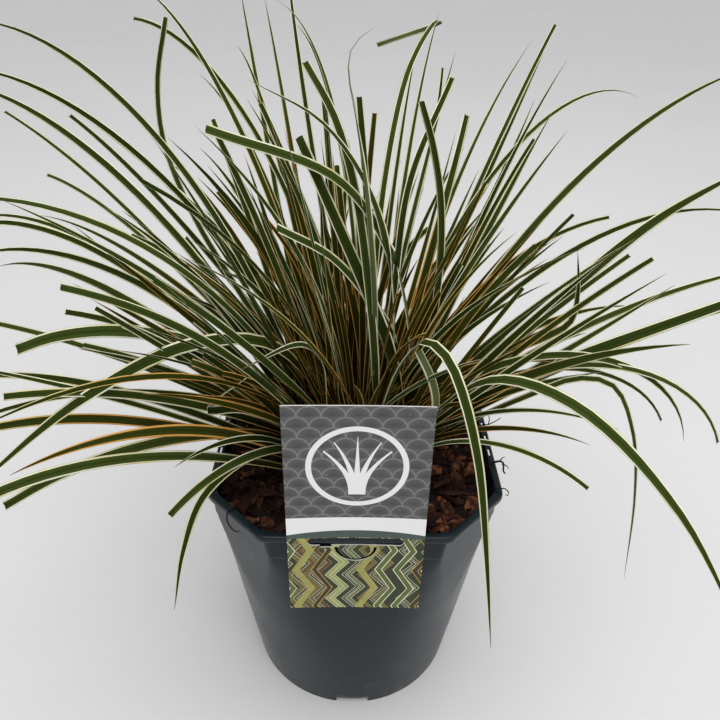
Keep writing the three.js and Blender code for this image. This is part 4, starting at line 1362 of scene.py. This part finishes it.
def ribbon_print(place, x, z):
    """Zigzag ribbons in leaf colours with pale or orange edges: narrow ones that lean one way, and
    broad ones over them that lean the other way."""
    leaf = CARD_GREEN
    for pitch, climb, step, seed, bare in RIBBONS:
        lean = (z.maths("PINGPONG", climb) * step + x) / pitch
        number = lean.maths("FLOOR") + seed
        aside = abs(lean.maths("FRACT") - 0.5)
        pick, other = (
            wire(x.tree, "TexWhiteNoise", {"W": value}, "Value", noise_dimensions="1D")
            for value in (number, number * 1.7)
        )
        hue = blended(pick > 0.5, CARD_GREEN, CARD_LEAF)
        hue = blended(pick > 0.82, hue, CARD_LIME)
        edge = blended(other > 0.72, CARD_PALE, CARD_ORANGE)
        half = pick * 0.12 + 0.22
        ribbon = blended(aside > half, hue, edge)
        leaf = blended((aside < half + 0.11) * (other > bare), leaf, ribbon)
    return blended(noise(place, 140, 4) * 0.5, leaf, CARD_GREEN)


def emblem_print(x, z):
    """A ring with five blades fanning up inside it."""
    from_centre = z - EMBLEM_LEVEL
    distance = (x ** 2.0 + from_centre ** 2.0) ** 0.5
    emblem = abs(distance - RING_RADIUS) < RING_HALF_WIDTH
    lift = from_centre + LEAVES_FOOT
    inside = (distance < LEAVES_REACH) * (lift > 0.0)
    rising = lift / LEAVES_RISE
    for spread in (-1.0, -0.5, 0.0, 0.5, 1.0):
        middle = rising ** 2.0 * (LEAVES_FAN * spread) + LEAVES_APART * spread
        blade = abs(x - middle) < rising * -LEAF_TAPER + LEAF_HALF_WIDTH
        emblem = emblem.maths("MAXIMUM", blade * inside)
    return emblem


def card_finish():
    """All the printing is worked out from where a point lies on the card, in millimetres."""
    finish, tree, shader = new_finish("printed_card", 0.34, 0.3)
    place = wire(tree, "TexCoord", {}, "Object")
    x, z = (wire(tree, "SeparateXYZ", {0: place}, axis) * (1 / MM) for axis in "XZ")
    cloud = noise(place, 60, 5)
    grey = blended(emblem_print(x, z), scale_print(cloud, x, z), CARD_WHITE)

    # the fields from the bottom up: leaf colours, slate, white band with an arched lower edge, grey
    arched = z + x ** 2.0 * BAND_ARCH
    face = blended(z > LEAF_FIELD_TOP, ribbon_print(place, x, z), CARD_SLATE)
    face = blended(arched > BAND_BOTTOM, face, CARD_WHITE)
    face = blended(z > BAND_TOP, face, grey)

    # the print is on the side that faces forwards
    facing = wire(tree, "SeparateXYZ", {0: wire(tree, "NewGeometry", {}, "Normal")}, "Y")
    colour = blended(facing < -0.5, CARD_CORE, face)
    worn = eased(noise(place, 400, 4), 0.68, 0.75) * 0.25
    feed(shader, "Base Color", blended(worn, colour, CARD_CORE))
    feed(shader, "Roughness", uneven(cloud, 0.3, 0.42))
    bumped(shader, noise(place, 700, 2), 0.00003, 0.5)
    return finish


def rounded_bar(half_width, low, high):
    """The outline of a bar with half-round ends, in x and z."""
    radius = (high - low) / 2
    outline = []
    for side in (1, -1):
        for turn in np.linspace(-pi / 2, pi / 2, SLIT_END_STEPS + 1):
            x = side * (half_width - radius + radius * cos(turn))
            outline.append((x, low + radius + side * radius * sin(turn)))
    return outline


def half_round_cut():
    """The outline of the narrow half-round cut that frees the tongue."""
    turns = np.linspace(pi, 2 * pi, CUT_STEPS + 1)
    outer = [(TONGUE_HALF * cos(t), TONGUE_TOP + TONGUE_DROP * sin(t)) for t in turns]
    half, drop = TONGUE_HALF - TONGUE_CUT, TONGUE_DROP - TONGUE_CUT
    inner = [(half * cos(t), TONGUE_TOP + drop * sin(t)) for t in reversed(turns)]
    return outer + inner


def prism(name, outline, front, back):
    """A closed body with the given outline in x and z, from its front to its back."""
    points = [(x, y, z) for y in (back, front) for x, z in outline]
    return solid(name, points, tube_faces(2, len(outline)))


def flat_card(finish):
    """The card before it bows: a fine grid on its face and its back, closed round the edges."""
    columns, rows = CARD_GRID
    points = []
    for y in (-CARD_THICKNESS, 0):
        for z in np.linspace(card_low.z, card_high.z, rows) / MM:
            points += [(x, y, z) for x in np.linspace(card_low.x, card_high.x, columns) / MM]
    front = grid_faces(rows, columns, closed=False)
    size = rows * columns
    faces = front + [tuple(size + corner for corner in reversed(face)) for face in front]
    rim = list(range(columns)) + [row * columns + columns - 1 for row in range(1, rows)]
    rim += list(range(size - 2, size - columns - 1, -1)) + [r * columns for r in range(rows - 2, 0, -1)]
    for here, there in zip(rim, rim[1:] + rim[:1]):
        faces.append((there, here, size + here, size + there))
    return solid("printed_label", points, faces, [finish])


def bowed(place):
    """The card bows where the lip passes through it and flattens out above and below."""
    near_lip = between(LEAST_BOW, 1, np.exp(-((place.z / MM - LIP_BOTTOM) / BOW_REACH) ** 2))
    across = place.x / MM / SLIT_HALF
    deep = RIM_HALF_ACROSS - CARD_SET_BACK + CARD_BOW * near_lip * across ** 2
    return place + Vector((0, -deep * MM, 0))


def nick():
    """The outline of the notch in the slit's lower edge."""
    left, right = NICK
    low, high = LIP_BOTTOM - NICK_DROP, LIP_BOTTOM + SLIT_ROOM
    return [(left, high), (left, low), (right, low), (right, high)]


printed_label = flat_card(card_finish())
slit = rounded_bar(SLIT_HALF, LIP_BOTTOM - SLIT_ROOM, RIM_TOP + SLIT_ROOM)
for outline in (slit, half_round_cut(), nick()):
    cut_out(printed_label, prism("label_cutter", outline, -CUT_DEPTH, CUT_DEPTH))
for vertex in printed_label.data.vertices:
    vertex.co = bowed(vertex.co)
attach(printed_label, "root")
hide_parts("label_card")

# ---------------------------------------------------------------- floor, light and camera
# A pale sweep under soft overhead light, seen from above the front of the pot.
FLOOR_HALF = 30  # in metres
FLOOR_GREYS = ((0.655, 0.655, 0.655, 1), (0.70, 0.70, 0.70, 1))
SKY = (0.99, 0.99, 0.995, 1)
SKY_STRENGTH = 0.78
# The lamps, in metres and watts: (name, place, size, power).
LAMPS = (
    ("overhead", (0.15, 0.1, 2.2), 1.8, 14),
    ("front_fill", (0.25, -1.3, 1.7), 1.6, 13),
)
LAMP_TARGET = (0, 0, 0.2)
CAMERA_PLACE = (-5.7, -385.3, 508.6)
CAMERA_PITCH = 32.71
CAMERA_HEADING = 1.17
CAMERA_ROLL = 1.21
IMAGE_SIZE = 720
FOCAL_PIXELS = 696.8


def floor_finish():
    finish, tree, shader = new_finish("pale_floor", 0.75, 0.2)
    place = wire(tree, "TexCoord", {}, "Object")
    feed(shader, "Base Color", blended(noise(place, 3, 4), *FLOOR_GREYS))
    bumped(shader, noise(place, 180, 3), 0.0003, 0.3)
    return finish


corners = np.array([(-1, -1, 0), (1, -1, 0), (1, 1, 0), (-1, 1, 0)]) * FLOOR_HALF / MM
floor = solid("floor", corners, [(0, 1, 2, 3)], [floor_finish()])

bpy.context.scene.view_settings.view_transform = "Standard"
world = bpy.data.worlds.new("studio")
bpy.context.scene.world = world
world.use_nodes = True
background = world.node_tree.nodes["Background"]
background.inputs["Color"].default_value = SKY
background.inputs["Strength"].default_value = SKY_STRENGTH

for name, place, size, power in LAMPS:
    lamp = bpy.data.lights.new(name, "AREA")
    lamp.shape = "DISK"
    lamp.size = size
    lamp.energy = power
    made = bpy.data.objects.new(name, lamp)
    made.location = place
    made.rotation_euler = (Vector(LAMP_TARGET) - Vector(place)).to_track_quat("-Z", "Y").to_euler()
    bpy.context.collection.objects.link(made)

lens = bpy.data.cameras.new("camera")
lens.sensor_width = 36
lens.lens = FOCAL_PIXELS / IMAGE_SIZE * lens.sensor_width
lens.clip_start = 0.01
lens.clip_end = 200
camera = bpy.data.objects.new("camera", lens)
bpy.context.collection.objects.link(camera)
camera.matrix_world = (
    Matrix.Translation(Vector(CAMERA_PLACE) * MM)
    @ Matrix.Rotation(-radians(CAMERA_HEADING), 4, "Z")
    @ Matrix.Rotation(radians(90 - CAMERA_PITCH), 4, "X")
    @ Matrix.Rotation(radians(CAMERA_ROLL), 4, "Z")
)
bpy.context.scene.camera = camera
